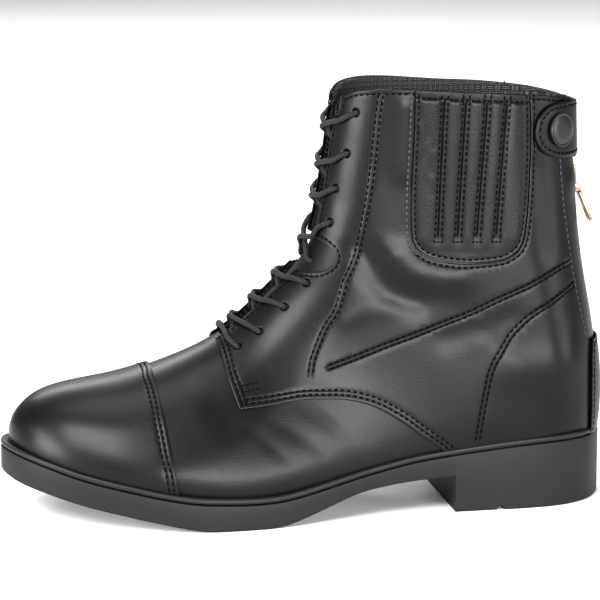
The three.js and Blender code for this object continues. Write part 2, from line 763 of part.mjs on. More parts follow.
// Outsole in one moulding with its heel
const plateau = level(WELT_WIDTH + 2 * GAP, soleTop);
let outsole = plate([
  level(SOLE_BEVEL, soleBottom),
  level(0, (x) => soleBottom(x) + SOLE_BEVEL),
  level(0, (x) => soleTop(x) - WELT_THICK - GAP),
]);
outsole = outsole.add(plate([level(WELT_WIDTH + 2 * GAP, (x) => soleTop(x) - WELT_THICK - 2), plateau]));
outsole = outsole.add(
  plate(
    [
      level(SOLE_BEVEL * 0.6, () => 0),
      level(0, () => SOLE_BEVEL * 0.6),
      level(0, (x) => soleTop(x) - WELT_THICK - GAP - 2),
    ],
    sideX(HEEL_FRONT),
  ),
);
const grooveX = sideX(HEEL_GROOVE_AT);
outsole = outsole.subtract(
  sideSlab(
    [
      [grooveX - HEEL_GROOVE_WIDE / 2, -1],
      [grooveX - HEEL_GROOVE_WIDE / 4, HEEL_GROOVE_DEEP],
      [grooveX + HEEL_GROOVE_WIDE / 4, HEEL_GROOVE_DEEP],
      [grooveX + HEEL_GROOVE_WIDE / 2, -1],
    ],
    -far,
    far,
  ),
);
pieces.set("outsole", outsole);

// Welt strip round the upper
pieces.set(
  "welt",
  plate([level(0, (x) => soleTop(x) - WELT_THICK), level(0, soleTop)]).subtract(
    plate([level(WELT_WIDTH, (x) => soleTop(x) - 9), level(WELT_WIDTH, (x) => soleTop(x) + 9)]),
  ),
);

// Upper: vamp, shaft and lining as one wall
const upper = layer(-WALL, 0)
  .subtract(underWelt)
  .subtract(overCollar)
  .subtract(throat)
  .subtract(notch)
  .subtract(zipOpening)
  .subtract(holeCut);
pieces.set("upper", upper);

// Insole inside the upper on the sole's raised top
const insoleBand = sideSlab([...topLine(GAP + INSOLE_THICK), ...topLine(GAP).reverse()], -far, far);
pieces.set("insole", form(-WALL - 2 * GAP).intersect(insoleBand));

// Tongue under the lace opening
const tongueCut = throatCut(BALL_WIDTH * 0.13, 9.4, 24.45);
pieces.set(
  "tongue",
  layer(-WALL - GAP - TONGUE_THICK, -WALL - GAP).intersect(tongueCut),
);

// Toe cap over the vamp
pieces.set(
  "toe_cap",
  layer(OVER_IN, OVER_OUT)
    .intersect(
      sideSlab([...smoothLine(sidePoints(TOE_CAP_EDGE), 7), [-far, 0], [-far, SHAFT_HEIGHT]], -far, far),
    )
    .subtract(underWelt),
);

// Quarters, the outer layer of the shaft, with the window of the stretch panel
const panelLine = (grow) => {
  const line = sidePoints(STRETCH_PANEL);
  const middle = line.reduce((sum, p) => sum + p[0], 0) / line.length;
  const low = Math.min(...line.map((p) => p[1]));
  return smoothLine(line, 16).map(([x, z]) => {
    const mid = (z - low) / (SHAFT_HEIGHT * 0.08);
    return [x + Math.sign(x - middle) * grow, mid < 1 ? z - grow * (1 - mid) : z];
  });
};
const quarterOutline = [
  ...smoothLine(sidePoints(DERBY_FRONT), 5),
  ...smoothLine(sidePoints(DERBY_LOWER), 10).slice(1),
  [far, 10],
  [far, far],
  [sideX(DERBY_FRONT[0][0]), far],
];
for (const [name, side] of [["lateral", -1], ["medial", 1]]) {
  const [low, high] = side < 0 ? [-far, -GAP / 2] : [GAP / 2, far];
  const quarter = layer(OVER_IN, OVER_OUT)
    .intersect(sideSlab(quarterOutline, low, high))
    .subtract(sideSlab(panelLine(0), low, high))
    .subtract(underWelt)
    .subtract(overCollar)
    .subtract(facingCut)
    .subtract(notch)
    .subtract(zipOpening)
    .subtract(holeCut);
  pieces.set(`quarter_${name}`, quarter);
  const slits = SLITS.map((pair) => {
    const [[xa, za], [xb, zb]] = sidePoints(pair);
    const h = SLIT_WIDE / 2;
    return sideSlab([[xb - h, zb], [xb + h, zb], [xa + h, za], [xa - h, za]], low, high);
  });
  const panel = layer(OVER_IN, OVER_OUT)
    .intersect(sideSlab(panelLine(-GAP), low, high))
    .subtract(overCollar)
    .subtract(layer(OVER_OUT - SLIT_DEEP, OVER_OUT + 1).intersect(wasm.Manifold.union(slits)));
  pieces.set(`stretch_panel_${name}`, panel);
}

// Backstay over the heel seam
pieces.set(
  "backstay",
  layer(STAY_IN, STAY_OUT)
    .intersect(sideSlab(sidePoints(BACKSTAY), -far, far))
    .subtract(underWelt),
);

// Snap tab round the back of the collar, longer on the outer side
const tabOutline = sidePoints(SNAP_TAB);
const tabInner = tabOutline.map(([x, z]) => [Math.max(x, sideX(0.868)), z]);
pieces.set(
  "snap_tab",
  layer(TAB_IN, TAB_OUT)
    .intersect(sideSlab(tabOutline, -far, 0).add(sideSlab(tabInner, -0.01, far)))
    .subtract(overCollar),
);
const snapPlace = onSide(sideX(SNAP_AT[0]), sideZ(SNAP_AT[1]), -1);
const snapProfile = [
  [0, SNAP_IN],
  [SNAP_D / 2 - 0.5, SNAP_IN],
  [SNAP_D / 2, SNAP_IN + 0.5],
  [SNAP_D / 2, SNAP_IN + SNAP_THICK - 0.8],
  [SNAP_D * 0.36, SNAP_OUT],
  [0, SNAP_OUT],
];
const snapTurned = new THREE.LatheGeometry(
  snapProfile.map(([r, h]) => new THREE.Vector2(r, h)),
  18,
);
snapTurned.applyQuaternion(new THREE.Quaternion().setFromUnitVectors(Y, snapPlace.normal));
snapTurned.translate(snapPlace.point.x, snapPlace.point.y, snapPlace.point.z);
pieces.set("snap_cap", solidOf(snapTurned));

// Zip tape with its row of teeth
const tapeOut = -0.6;
const teethOut = tapeOut + TEETH_RISE;
pieces.set(
  "zip_tape",
  layer(-WALL, tapeOut)
    .intersect(zipSlot(ZIP_WIDE / 2 - GAP, zipLow + GAP, SHAFT_HEIGHT * 1.2))
    .add(
      layer(-WALL, teethOut).intersect(
        zipSlot(TEETH_WIDE / 2, zipLow + 3, SHAFT_HEIGHT * 1.2),
      ),
    )
    .subtract(overCollar),
);

// Slider and pull. Their frame has its origin on the teeth, U outward and V up the zip.
function backAt(z) {
  let best = grid[0][0];
  let after = best;
  for (let i = 0; i < ROWS - 1; i += 1) {
    if (rowPlace[i] < FIRST_RING) continue;
    if (grid[i][0].z <= z && grid[i + 1][0].z > z) {
      best = grid[i][0];
      after = grid[i + 1][0];
    }
  }
  const f = (z - best.z) / (after.z - best.z);
  return { point: best.clone().lerp(after, f), up: after.clone().sub(best).normalize() };
}
const seat = backAt(sideZ(SLIDER_AT));
const up = new THREE.Vector3(seat.up.x, 0, seat.up.z).normalize();
const out = new THREE.Vector3(up.z, 0, -up.x);
const sliderOrigin = new THREE.Vector3(seat.point.x, 0, seat.point.z).addScaledVector(out, teethOut + GAP + 0.15);
const local = (u, y, v) => sliderOrigin.clone().addScaledVector(out, u).addScaledVector(Y, y).addScaledVector(up, v);
// Block with an outline across the zip, pushed along the width
function zipBlock(outline, low, high) {
  const world = outline.map(([u, v]) => {
    const p = local(u, 0, v);
    return [p.x, p.z];
  });
  return sideSlab(world, low, high);
}
const hingeV = -SLIDER_TALL * HINGE_DROP;
const eyeR = PIN_D / 2 + PULL_SLOT + 0.9;
const pinU = eyeR + 0.35;
const cheek = 1;
const halfSlider = SLIDER_WIDE / 2;
const bodyLow = hingeV + eyeR + 0.5;
let slider = zipBlock(
  [
    [0, bodyLow],
    [SLIDER_THICK, bodyLow],
    [SLIDER_THICK, SLIDER_TALL / 2 - 1],
    [SLIDER_THICK - 0.8, SLIDER_TALL / 2],
    [0, SLIDER_TALL / 2],
  ],
  -halfSlider,
  halfSlider,
);
for (const side of [-1, 1]) {
  const a = side * halfSlider;
  const b = side * (halfSlider - cheek);
  slider = slider.add(
    zipBlock(
      [
        [0, bodyLow + 1],
        [0, hingeV - 1],
        [pinU - 0.2, hingeV - 1.1],
        [pinU + 0.8, hingeV - 0.7],
        [pinU + 1.1, hingeV],
        [pinU + 0.7, hingeV + 0.9],
        [SLIDER_THICK, bodyLow + 2.5],
      ],
      Math.min(a, b),
      Math.max(a, b),
    ),
  );
}
const hinge = local(pinU, 0, hingeV);
slider = slider.add(
  rod(
    hinge.clone().addScaledVector(Y, -halfSlider + 0.2),
    hinge.clone().addScaledVector(Y, halfSlider - 0.2),
    PIN_D,
    10,
  ),
);
pieces.set("zip_slider", slider);

// Pull tab with its eye round the slider's pin
const lean = THREE.MathUtils.degToRad(PULL_LEAN);
const down = new THREE.Vector3(Math.sin(lean), 0, -Math.cos(lean));
const face = new THREE.Vector3(Math.cos(lean), 0, Math.sin(lean));
const pullOutline = [];
const eyeHalf = halfSlider - cheek - 0.35;
const pullHalf = PULL_WIDE / 2;
const pullShape = [
  [-eyeHalf, -eyeR],
  [-eyeHalf, eyeR + 1],
  [-pullHalf, eyeR + 3],
  [-pullHalf, PULL_LONG - 1.6],
  [-pullHalf + 1.6, PULL_LONG],
  [pullHalf - 1.6, PULL_LONG],
  [pullHalf, PULL_LONG - 1.6],
  [pullHalf, eyeR + 3],
  [eyeHalf, eyeR + 1],
  [eyeHalf, -eyeR],
];
const pullFlat = pullShape.map(([y, d]) => [y, d]);
const pullSlab = slab(pullFlat, Y, down, -eyeR, eyeR);
const placed = pullSlab.translate([hinge.x, hinge.y, hinge.z]);
const profile = [];
for (let i = 0; i <= 8; i += 1) {
  const a = Math.PI - (Math.PI * i) / 8;
  profile.push([Math.cos(a) * eyeR, -Math.sin(a) * eyeR]);
}
profile.push([eyeR, 1.2], [PULL_THICK / 2, 3.4], [PULL_THICK / 2, PULL_LONG], [-PULL_THICK / 2, PULL_LONG]);
profile.push([-PULL_THICK / 2, 3.4], [-eyeR, 1.2]);
const profileWorld = profile.map(([n, d]) => {
  const p = hinge.clone().addScaledVector(face, n).addScaledVector(down, d);
  return [p.x, p.z];
});
const eyeHole = rod(
  hinge.clone().addScaledVector(Y, -halfSlider * 2),
  hinge.clone().addScaledVector(Y, halfSlider * 2),
  PIN_D + 2 * PULL_SLOT,
  12,
);
pieces.set("zip_pull", sideSlab(profileWorld, -PULL_WIDE, PULL_WIDE).intersect(placed).subtract(eyeHole));

// Lace bars and crossings, top row first
const eyeletHigh = (n, side) => {
  const { point, normal } = lacePlace[n][side < 0 ? 0 : 1];
  return point.clone().addScaledVector(normal, LACE_LIFT);
};
const eyeletWide = (n, side) => lacePlace[n][side < 0 ? 0 : 1].point.y;
const laceRow = (n) => (lacePlace[n][0].row + lacePlace[n][1].row) / 2;
const mix = (a, b, f) => a + (b - a) * f;
const frontRow = lacePlace.map(([place]) => nearestRow(place.point));
function nearestRow(point) {
  let best = 10;
  let least = Infinity;
  for (let t = 10; t <= lastRow; t += 0.05) {
    const s = sectionAt(t);
    const d = Math.hypot(s.top[0] - point.x, s.top[1] - point.z);
    if (d < least) {
      least = d;
      best = t;
    }
  }
  return best;
}
function strand(high, low, side) {
  const middle = mix(frontRow[high], frontRow[low], 0.5);
  const wide = Math.abs(eyeletWide(high, side));
  const endRow = mix(middle, frontRow[low], 0.4);
  const gapHalf = between(THROAT, 1, endRow) * BALL_WIDTH;
  return cord(
    [
      eyeletHigh(high, side),
      onFront(mix(frontRow[high], middle, 0.3), side * mix(wide, 0, 0.3), LACE_LIFT + 0.1),
      onFront(mix(frontRow[high], middle, 0.62), side * mix(wide, 0, 0.62), LACE_LIFT + 0.1),
      onFront(middle, side * 0.01, LACE_LIFT - 0.5),
      onFront(endRow, -side * (gapHalf - LACE_D / 2 - 1.3), 0.9),
    ],
    LACE_D,
    5,
  );
}
for (let n = 0; n < EYELETS.length - 1; n += 1) {
  pieces.set(`lace_crossing_${n + 1}`, strand(n, n + 1, -1).add(strand(n, n + 1, 1)));
}
const bottom = EYELETS.length - 1;
pieces.set(
  "lace_bar",
  cord(
    [
      eyeletHigh(bottom, -1),
      onFront(frontRow[bottom], -Math.abs(eyeletWide(bottom, -1)) / 2, LACE_LIFT + 0.2),
      onFront(frontRow[bottom], 0.01, LACE_LIFT + 0.2),
      onFront(frontRow[bottom], Math.abs(eyeletWide(bottom, 1)) / 2, LACE_LIFT + 0.2),
      eyeletHigh(bottom, 1),
    ],
    LACE_D,
    8,
  ),
);

// Finishes
const LOOKS = {
  leather: { color: 0x2a2a2c, roughness: 0.45, metalness: 0 },
  lining: { color: 0x1d1d1f, roughness: 0.9, metalness: 0 },
  rubber: { color: 0x303032, roughness: 0.75, metalness: 0 },
  cord: { color: 0x232325, roughness: 0.7, metalness: 0 },
  snap: { color: 0x2b2c2e, roughness: 0.5, metalness: 0.2 },
  tape: { color: 0x19191b, roughness: 0.9, metalness: 0 },
  brass: { color: 0xb8a888, roughness: 0.3, metalness: 1 },
};
const lookOf = (name) => {
  if (name === "outsole" || name === "welt") return LOOKS.rubber;
  if (name === "insole") return LOOKS.lining;
  if (name.startsWith("lace")) return LOOKS.cord;
  if (name === "snap_cap") return LOOKS.snap;
  if (name === "zip_tape") return LOOKS.tape;
  if (name.startsWith("zip")) return LOOKS.brass;
  return LOOKS.leather;
};

// Meshes, with the origin moved to the middle of the bounding box's underside
const boot = new THREE.Group();
boot.name = "paddock_boot";
for (const [name, solid] of pieces) {
  const { vertProperties, triVerts, numProp } = solid.getMesh();
  const place = [];
  for (const v of triVerts) {
    place.push(vertProperties[v * numProp], vertProperties[v * numProp + 1], vertProperties[v * numProp + 2]);
  }
  const geometry = new THREE.BufferGeometry();
  geometry.setAttribute("position", new THREE.Float32BufferAttribute(place, 3));
  geometry.computeVertexNormals();
  const mesh = new THREE.Mesh(geometry, new THREE.MeshStandardMaterial(lookOf(name)));
  mesh.name = name;
  boot.add(mesh);
}
const box = new THREE.Box3().setFromObject(boot);
const middle = box.getCenter(new THREE.Vector3());
boot.children.forEach((mesh) => mesh.geometry.translate(-middle.x, -middle.y, -box.min.z));

export default boot;
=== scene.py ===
# %% [markdown]
# # A black paddock boot, step by step
# The boot is lasted leather on a moulded sole: laces in front, a zip at the back, a pleated
# stretch panel at each side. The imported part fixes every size. This file loads it first and
# then makes each visible piece over its solid, so that the looks and the solids agree.

import json
import math
from contextlib import contextmanager

import bmesh
import bpy
import numpy as np
from mathutils import Matrix, Vector
from mathutils.geometry import delaunay_2d_cdt
from mathutils.kdtree import KDTree

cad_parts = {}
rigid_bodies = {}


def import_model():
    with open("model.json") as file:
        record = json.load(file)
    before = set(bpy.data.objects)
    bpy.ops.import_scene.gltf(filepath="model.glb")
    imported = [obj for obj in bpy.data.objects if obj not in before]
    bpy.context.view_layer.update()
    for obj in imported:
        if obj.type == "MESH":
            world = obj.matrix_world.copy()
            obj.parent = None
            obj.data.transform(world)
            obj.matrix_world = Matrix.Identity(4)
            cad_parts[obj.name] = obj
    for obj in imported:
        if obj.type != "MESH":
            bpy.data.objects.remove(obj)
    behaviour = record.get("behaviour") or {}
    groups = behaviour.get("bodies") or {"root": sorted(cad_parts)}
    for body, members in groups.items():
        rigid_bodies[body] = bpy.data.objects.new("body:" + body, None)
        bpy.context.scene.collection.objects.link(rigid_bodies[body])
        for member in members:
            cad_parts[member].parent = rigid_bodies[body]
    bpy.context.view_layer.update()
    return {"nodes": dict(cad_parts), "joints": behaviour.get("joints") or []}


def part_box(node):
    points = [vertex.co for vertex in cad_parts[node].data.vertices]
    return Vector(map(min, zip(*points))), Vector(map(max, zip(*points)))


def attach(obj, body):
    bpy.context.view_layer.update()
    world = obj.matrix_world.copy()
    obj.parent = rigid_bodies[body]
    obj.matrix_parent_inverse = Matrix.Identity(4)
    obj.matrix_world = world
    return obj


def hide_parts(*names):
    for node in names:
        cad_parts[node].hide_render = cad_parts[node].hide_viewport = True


for leftover in list(bpy.data.objects):
    bpy.data.objects.remove(leftover)
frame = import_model()

# %% [markdown]
# ## The shape of the last
# A boot's leather is pulled over a last, so one smooth surface carries every layer. It could be
# sculpted by eye, but layers would then drift apart. Here it is a row of cross sections from toe
# to collar, blended smoothly, the same ones that the solids follow. Lengths are in millimetres.

# %% Sections of the last
LENGTH, BALL, HEIGHT = 286.0, 98.0, 198.0
SECTIONS = np.array(
    [
        # crest x, z; back x, z; half width behind and in front, below 2 a share of the foot's;
        # share that rounds off behind and in front; the two powers; how far the crest leans in
        (-138.0, 37.0, -137.9, 29.0, 0, 0, 0.30, 0.70, 2.2, 2.2, 6),
        (-137.4, 41.5, -137.2, 28.8, 1.03, 1.0, 0.30, 0.70, 2.2, 2.2, 6),
        (-135.4, 46.0, -135.2, 28.4, 1.03, 1.0, 0.30, 0.70, 2.2, 2.2, 6),
        (-131.6, 50.2, -131.3, 27.5, 1.03, 1.0, 0.30, 0.72, 2.2, 2.2, 6),
        (-125.6, 54.6, -125.0, 25.6, 1.03, 1.0, 0.30, 0.75, 2.2, 2.25, 6),
        (-116.5, 57.8, -116.0, 22.8, 1.04, 1.0, 0.30, 0.78, 2.2, 2.3, 5.5),
        (-104.5, 60.0, -104.0, 19.8, 1.04, 1.0, 0.30, 0.80, 2.2, 2.3, 5),
        (-90.5, 62.2, -89.5, 16.6, 1.05, 1.0, 0.30, 0.80, 2.2, 2.25, 4.5),
        (-74.5, 66.6, -71.0, 13.3, 1.05, 0.98, 0.28, 0.78, 2.2, 2.15, 4),
        (-60.0, 72.0, -50.0, 10.3, 1.05, 0.95, 0.26, 0.72, 2.2, 2.1, 3.5),
        (-44.8, 79.0, -28.0, 10.0, 1.05, 0.90, 0.24, 0.62, 2.2, 2.05, 3),
        (-29.6, 90.6, -4.0, 12.8, 1.05, 0.82, 0.22, 0.50, 2.2, 2.0, 2),
        (-16.6, 104.3, 21.0, 18.0, 1.04, 0.82, 0.20, 0.40, 2.2, 2.0, 1.2),
        (-6.6, 114.4, 46.0, 23.0, 1.04, 0.88, 0.20, 0.33, 2.2, 2.0, 0.6),
        (-0.6, 122.6, 70.0, 26.5, 1.06, 0.92, 0.20, 0.29, 2.2, 2.0, 0.2),
        (3.0, 131.0, 93.0, 28.2, 1.07, 0.92, 0.21, 0.26, 2.2, 2.05, 0),
        (5.0, 138.7, 113.0, 29.2, 32.6, 27.4, 0.22, 0.24, 2.2, 2.05, 0),
        (6.2, 145.2, 128.0, 29.5, 32.9, 27.4, 0.232, 0.22, 2.16, 2.1, 0),
        (7.2, 150.3, 136.0, 29.2, 33.0, 27.4, 0.24, 0.21, 2.1, 2.1, 0),
        (8.0, 155.0, 138.7, 30.0, 33.0, 27.4, 0.247, 0.20, 2.03, 2.1, 0),
        (9.0, 161.0, 140.4, 43.0, 33.0, 27.5, 0.262, 0.20, 2.0, 2.15, 0),
        (10.0, 167.0, 140.4, 58.0, 32.7, 27.6, 0.28, 0.20, 2.0, 2.15, 0),
        (10.8, 173.0, 138.5, 75.0, 32.0, 27.8, 0.302, 0.21, 2.0, 2.15, 0),
        (11.7, 179.0, 135.4, 93.0, 31.2, 28.1, 0.33, 0.22, 2.0, 2.2, 0),
        (12.5, 185.5, 131.5, 113.0, 30.6, 28.6, 0.35, 0.23, 2.0, 2.2, 0),
        (13.3, 192.0, 128.7, 136.0, 30.2, 29.3, 0.37, 0.25, 2.0, 2.2, 0),
        (14.0, 198.0, 126.8, 160.0, 29.8, 30.2, 0.39, 0.27, 2.0, 2.2, 0),
        (15.0, 204.5, 125.8, 184.0, 29.6, 31.0, 0.41, 0.28, 2.0, 2.2, 0),
        (16.5, 213.0, 125.5, 207.0, 29.5, 31.5, 0.42, 0.29, 2.0, 2.2, 0),
    ]
)
FIRST_RING = 19  # from this row on a section closes behind the heel
LAST = len(SECTIONS) - 1
OUTLINE = np.array(
    [
        # outer and inner edge of the sole's plan, at even turns from toe to heel
        (6, 6), (-6, 17), (-19.5, 28), (-30.5, 37.3), (-39.3, 43.4), (-46.2, 46.8),
        (-50.1, 47.3), (-49.2, 43.0), (-44.1, 36.2), (-38.3, 31.0), (-34.8, 30.2),
        (-33.6, 31.4), (-33.2, 32.0), (-30, 29.9), (-21.8, 23.2), (-9.8, 12.6), (1.2, 1.2),
    ],
    float,
)
SIDE_LEDGE, TOE_LEDGE, HEEL_LEDGE = 4.0, 5.1, 4.2


def blend_rows(table, t):
    """Smooth values of a table's columns at places between its rows."""
    t = np.asarray(t, float)
    last = len(table) - 1
    i = np.clip(np.floor(t).astype(int), 0, last - 1)
    f = (t - i)[..., None]
    ends = np.vstack([2 * table[0] - table[1], table, 2 * table[-1] - table[-2]])
    a, b, c, d = ends[i], ends[i + 1], ends[i + 2], ends[np.minimum(i + 3, last + 2)]
    return b + 0.5 * f * (c - a + f * (2 * a - 5 * b + 4 * c - d + f * (3 * (b - c) + d - a)))


def sole_edge(x, inset=0.0):
    """Outer and inner edge of the sole's plan at x, moved in by inset."""
    half = LENGTH / 2
    turn = np.arccos(np.clip(-np.asarray(x, float) / (half - inset), -1, 1)) / math.pi
    return blend_rows(OUTLINE, turn * (len(OUTLINE) - 1)) * (1 - inset / (BALL / 2))


def feather(x):
    """Outer and inner edge of the upper where it meets the welt."""
    half = LENGTH / 2
    x = np.asarray(x, float)
    ledge = np.where(x < 0, TOE_LEDGE, HEEL_LEDGE)
    turn = np.arccos(np.clip(-x / (half - ledge), -1, 1)) / math.pi
    return blend_rows(OUTLINE, turn * (len(OUTLINE) - 1)) * (1 - SIDE_LEDGE / (BALL / 2))


def ease(n):
    """Smooth step from 0 to 1."""
    n = np.clip(n, 0, 1)
    return n * n * (3 - 2 * n)


def unit(vectors):
    return vectors / np.maximum(np.linalg.norm(vectors, axis=-1, keepdims=True), 1e-9)


def run_along(p):
    """Distance along a line from its start to each of its points."""
    return np.concatenate([[0], np.cumsum(np.linalg.norm(np.diff(p, axis=0), axis=1))])


def read_at(want, run, values):
    """The columns of a line's values at given distances along it."""
    return np.stack([np.interp(want, run, column) for column in values.T], 1)


rows = SECTIONS.copy()
foot_half = np.diff(feather(rows[:, 2]), axis=1)[:, 0] / 2
for column in (4, 5):
    rows[:, column] *= np.where(SECTIONS[:, column] < 2, foot_half, 1)

SIDE = 120  # columns from the sole's edge to the crest
ROW_STEPS = 20  # fine rows for each section
STEPS = ROW_STEPS * LAST + 1


def section_points(t):
    """Points round the sections at rows t, from the outer back over the crest to the inner back."""
    r = blend_rows(rows, t)
    tx, tz, bx, bz, wb, wf, lb, lf, nb, nf, crest = [r[:, [k]] for k in range(11)]
    edge = feather(bx[:, 0])
    ring = (t >= FIRST_RING)[:, None]
    foot = np.where(ring, 0, (edge[:, 1] - edge[:, 0])[:, None] / 2)
    middle = (edge[:, 1] + edge[:, 0])[:, None] / 2
    middle = np.where(ring, middle * np.clip(1 - (t[:, None] - FIRST_RING) / 5, 0, 1), middle)
    wide = np.maximum(wb, foot * 1.001)
    share = np.clip(foot / np.maximum(wide, 1e-6), 0, 1)
    start = 1 - (1 - share**nb) ** (1 / nb)

    def half_width(q):
        back = np.clip(start + q / lb * (1 - start), 0, 1)
        front = np.clip((q - (1 - lf)) / lf, 0, 1)
        mix = ease((q - lb / 2) / (1 - lf / 2 - lb / 2))
        round_back = (1 - (1 - back) ** nb) ** (1 / nb)
        return (wide + (wf - wide) * mix) * round_back * (1 - front**nf) ** (1 / nf)

    fine = (0.5 - 0.5 * np.cos(np.pi * np.arange(241) / 240))[None, :]
    w = half_width(fine)
    da, dw = np.diff(fine * np.hypot(tx - bx, tz - bz), axis=1), np.diff(w, axis=1)
    turn = np.abs(np.diff(np.unwrap(np.arctan2(dw, da), axis=1), axis=1))
    turn = np.minimum(np.hstack([turn[:, :1], turn]), 0.2)
    step = np.hypot(da, dw)
    total = np.cumsum(step / step.sum(1, keepdims=True) + turn / np.pi, axis=1)
    total = np.hstack([np.zeros((len(t), 1)), total]) / total[:, -1:]
    even = np.linspace(0, 1, SIDE + 1)
    q = np.array([np.interp(even, line, fine[0]) for line in total])
    w = half_width(q)
    reach = 1 - 0.65 * ease((t[:, None] - 14) / 4)
    y = middle * (1 - ease(q / reach)) + crest * ease(q)
    x, z = bx + (tx - bx) * q, bz + (tz - bz) * q
    outer = np.stack([x, y - w, z], -1)
    inner = np.stack([x, y + w, z], -1)
    return np.concatenate([outer, inner[:, :-1][:, ::-1]], 1)


def soften(points, width):
    """Evens out the blend from row to row, and leaves the first and last row where they are."""
    reach = int(3 * width)
    head = 2 * points[:1] - points[1 : reach + 1][::-1]
    tail = 2 * points[-1:] - points[-reach - 1 : -1][::-1]
    long = np.concatenate([head, points, tail])
    weight = np.exp(-0.5 * (np.arange(-reach, reach + 1) / width) ** 2)
    weight /= weight.sum()
    return sum(w * long[k : k + len(points)] for k, w in enumerate(weight))


row_at = np.linspace(0, LAST, STEPS)
last_points = soften(section_points(row_at), 7)
along = np.gradient(last_points, axis=0)
across = np.empty_like(last_points)
across[:, 1:-1] = last_points[:, 2:] - last_points[:, :-2]
across[:, 0] = last_points[:, 1] - last_points[:, 0]
across[:, -1] = last_points[:, -1] - last_points[:, -2]
is_ring = row_at >= FIRST_RING
across[is_ring, 0] = across[is_ring, -1] = (last_points[:, 1] - last_points[:, -2])[is_ring]
last_normals = unit(np.cross(along, across))
last_normals[0] = (-1, 0, 0)
print("last surface of", last_points.shape[0], "by", last_points.shape[1], "points")

# %% [markdown]
# ## Reading the surface
# Two numbers name any place on the last: t, the section row from toe to collar, and v, from -1
# at the outer sole edge or back seam over 0 at the crest to 1 at the inner one. Cubic blending
# keeps the surface free of facets, which black leather would show at once.


# %% Places on the last
def widen(grid):
    """One more row and column on every side, so that cubic blending has its neighbours."""
    grid = np.concatenate([2 * grid[:1] - grid[1:2], grid, 2 * grid[-1:] - grid[-2:-1]])
    left, right = 2 * grid[:, :1] - grid[:, 1:2], 2 * grid[:, -1:] - grid[:, -2:-1]
    return np.concatenate([left, grid, right], 1)


wide_points, wide_normals = widen(last_points), widen(last_normals)


def cubic(f):
    return [
        -0.5 * f + f * f - 0.5 * f**3,
        1 - 2.5 * f * f + 1.5 * f**3,
        0.5 * f + 2 * f * f - 1.5 * f**3,
        -0.5 * f * f + 0.5 * f**3,
    ]


def read_grid(grid, tv):
    a = np.clip(tv[..., 0], 0, LAST) * ROW_STEPS
    b = (np.clip(tv[..., 1], -1, 1) + 1) * SIDE
    i = np.clip(np.floor(a).astype(int), 0, STEPS - 2)
    j = np.clip(np.floor(b).astype(int), 0, 2 * SIDE - 1)
    wa, wb = cubic(a - i), cubic(b - j)
    return sum(
        (wa[m] * wb[n])[..., None] * grid[i + m, j + n] for m in range(4) for n in range(4)
    )


def place(tv):
    """Points of the last at places (t, v)."""
    return read_grid(wide_points, np.asarray(tv, float))


def facing(tv):
    """Outward directions at places (t, v)."""
    return unit(read_grid(wide_normals, np.asarray(tv, float)))


back_line = last_points[:, 0][:, [0, 2]]
top_line = last_points[:, SIDE][:, [0, 2]]
span = top_line - back_line
outer_half = last_points[:, : SIDE + 1][:, :, [0, 2]] - back_line[:, None]
share_table = np.einsum("ijk,ik->ij", outer_half, span)
share_table /= (span**2).sum(1)[:, None]


def on_side(points, side):
    """(t, v) of points given in the side view as (x, z); those off the surface are left out."""
    found = []
    for p in np.atleast_2d(points):
        turn = span[:, 0] * (p[1] - back_line[:, 1]) - span[:, 1] * (p[0] - back_line[:, 0])
        flips = np.nonzero((turn[:-1] > 0) != (turn[1:] > 0))[0]
        if not len(flips):
            continue
        i = flips[-1] if p[1] > 30 else flips[0]
        f = turn[i] / (turn[i] - turn[i + 1])
        q = [((p - back_line[k]) @ span[k]) / (span[k] @ span[k]) for k in (i, i + 1)]
        share = q[0] * (1 - f) + q[1] * f
        if not 0 <= share <= 0.999:
            continue
        line = share_table[i] * (1 - f) + share_table[i + 1] * f
        v = np.interp(share, line, np.linspace(-1, 0, SIDE + 1))
        found.append(((i + f) / ROW_STEPS, v if side < 0 else -v))
    return np.array(found)


def curve_through(points, step=1.0):
    """Even points on a smooth line through the given ones."""
    points = np.asarray(points, float)
    fine = blend_rows(points, np.linspace(0, len(points) - 1, 24 * len(points)))
    run = run_along(fine)
    want = np.linspace(0, run[-1], max(2, int(run[-1] / step) + 1))
    return read_at(want, run, fine)


def even(tv, step):
    """The same line on the last with points a fixed distance apart."""
    run = run_along(place(tv))
    want = np.linspace(0, run[-1], max(2, int(round(run[-1] / step)) + 1))
    return read_at(want, run, tv)


def side_line(points, side, step=0.8):
    """A smooth line of the side view, laid on one side of the last."""
    return even(on_side(curve_through(points, 0.7), side), step)


def nudge(tv, move):
    """Moves places on the last by short vectors that lie along its surface."""
    tv = np.asarray(tv, float)
    a = (place(tv + (0.02, 0)) - place(tv - (0.02, 0))) / 0.04
    b = (place(tv + (0, 0.004)) - place(tv - (0, 0.004))) / 0.008
    aa, bb, ab = (a * a).sum(-1), (b * b).sum(-1), (a * b).sum(-1)
    am, bm = (a * move).sum(-1), (b * move).sum(-1)
    d = np.maximum(aa * bb - ab * ab, 1e-6)
    return tv + np.stack([(am * bb - bm * ab) / d, (bm * aa - am * ab) / d], -1)


def beside(tv, distance):
    """The line moved sideways on the surface."""
    ahead = unit(np.gradient(place(tv), axis=0))
    return nudge(tv, np.cross(facing(tv), ahead) * distance)


def meet(rule, vs, low, high):
    """Line of places where a rule of x, y and z changes sign, one for each v."""
    ts = np.linspace(low, high, 400)
    grid = np.stack(np.meshgrid(ts, vs, indexing="ij"), -1)
    p = place(grid)
    value = rule(p[..., 0], p[..., 1], p[..., 2])
    found = []
    for k, v in enumerate(vs):
        flips = np.nonzero((value[:-1, k] < 0) != (value[1:, k] < 0))[0]
        if len(flips):
            i = flips[0]
            f = value[i, k] / (value[i, k] - value[i + 1, k])
            found.append((ts[i] + f * (ts[1] - ts[0]), v))
    return np.array(found)


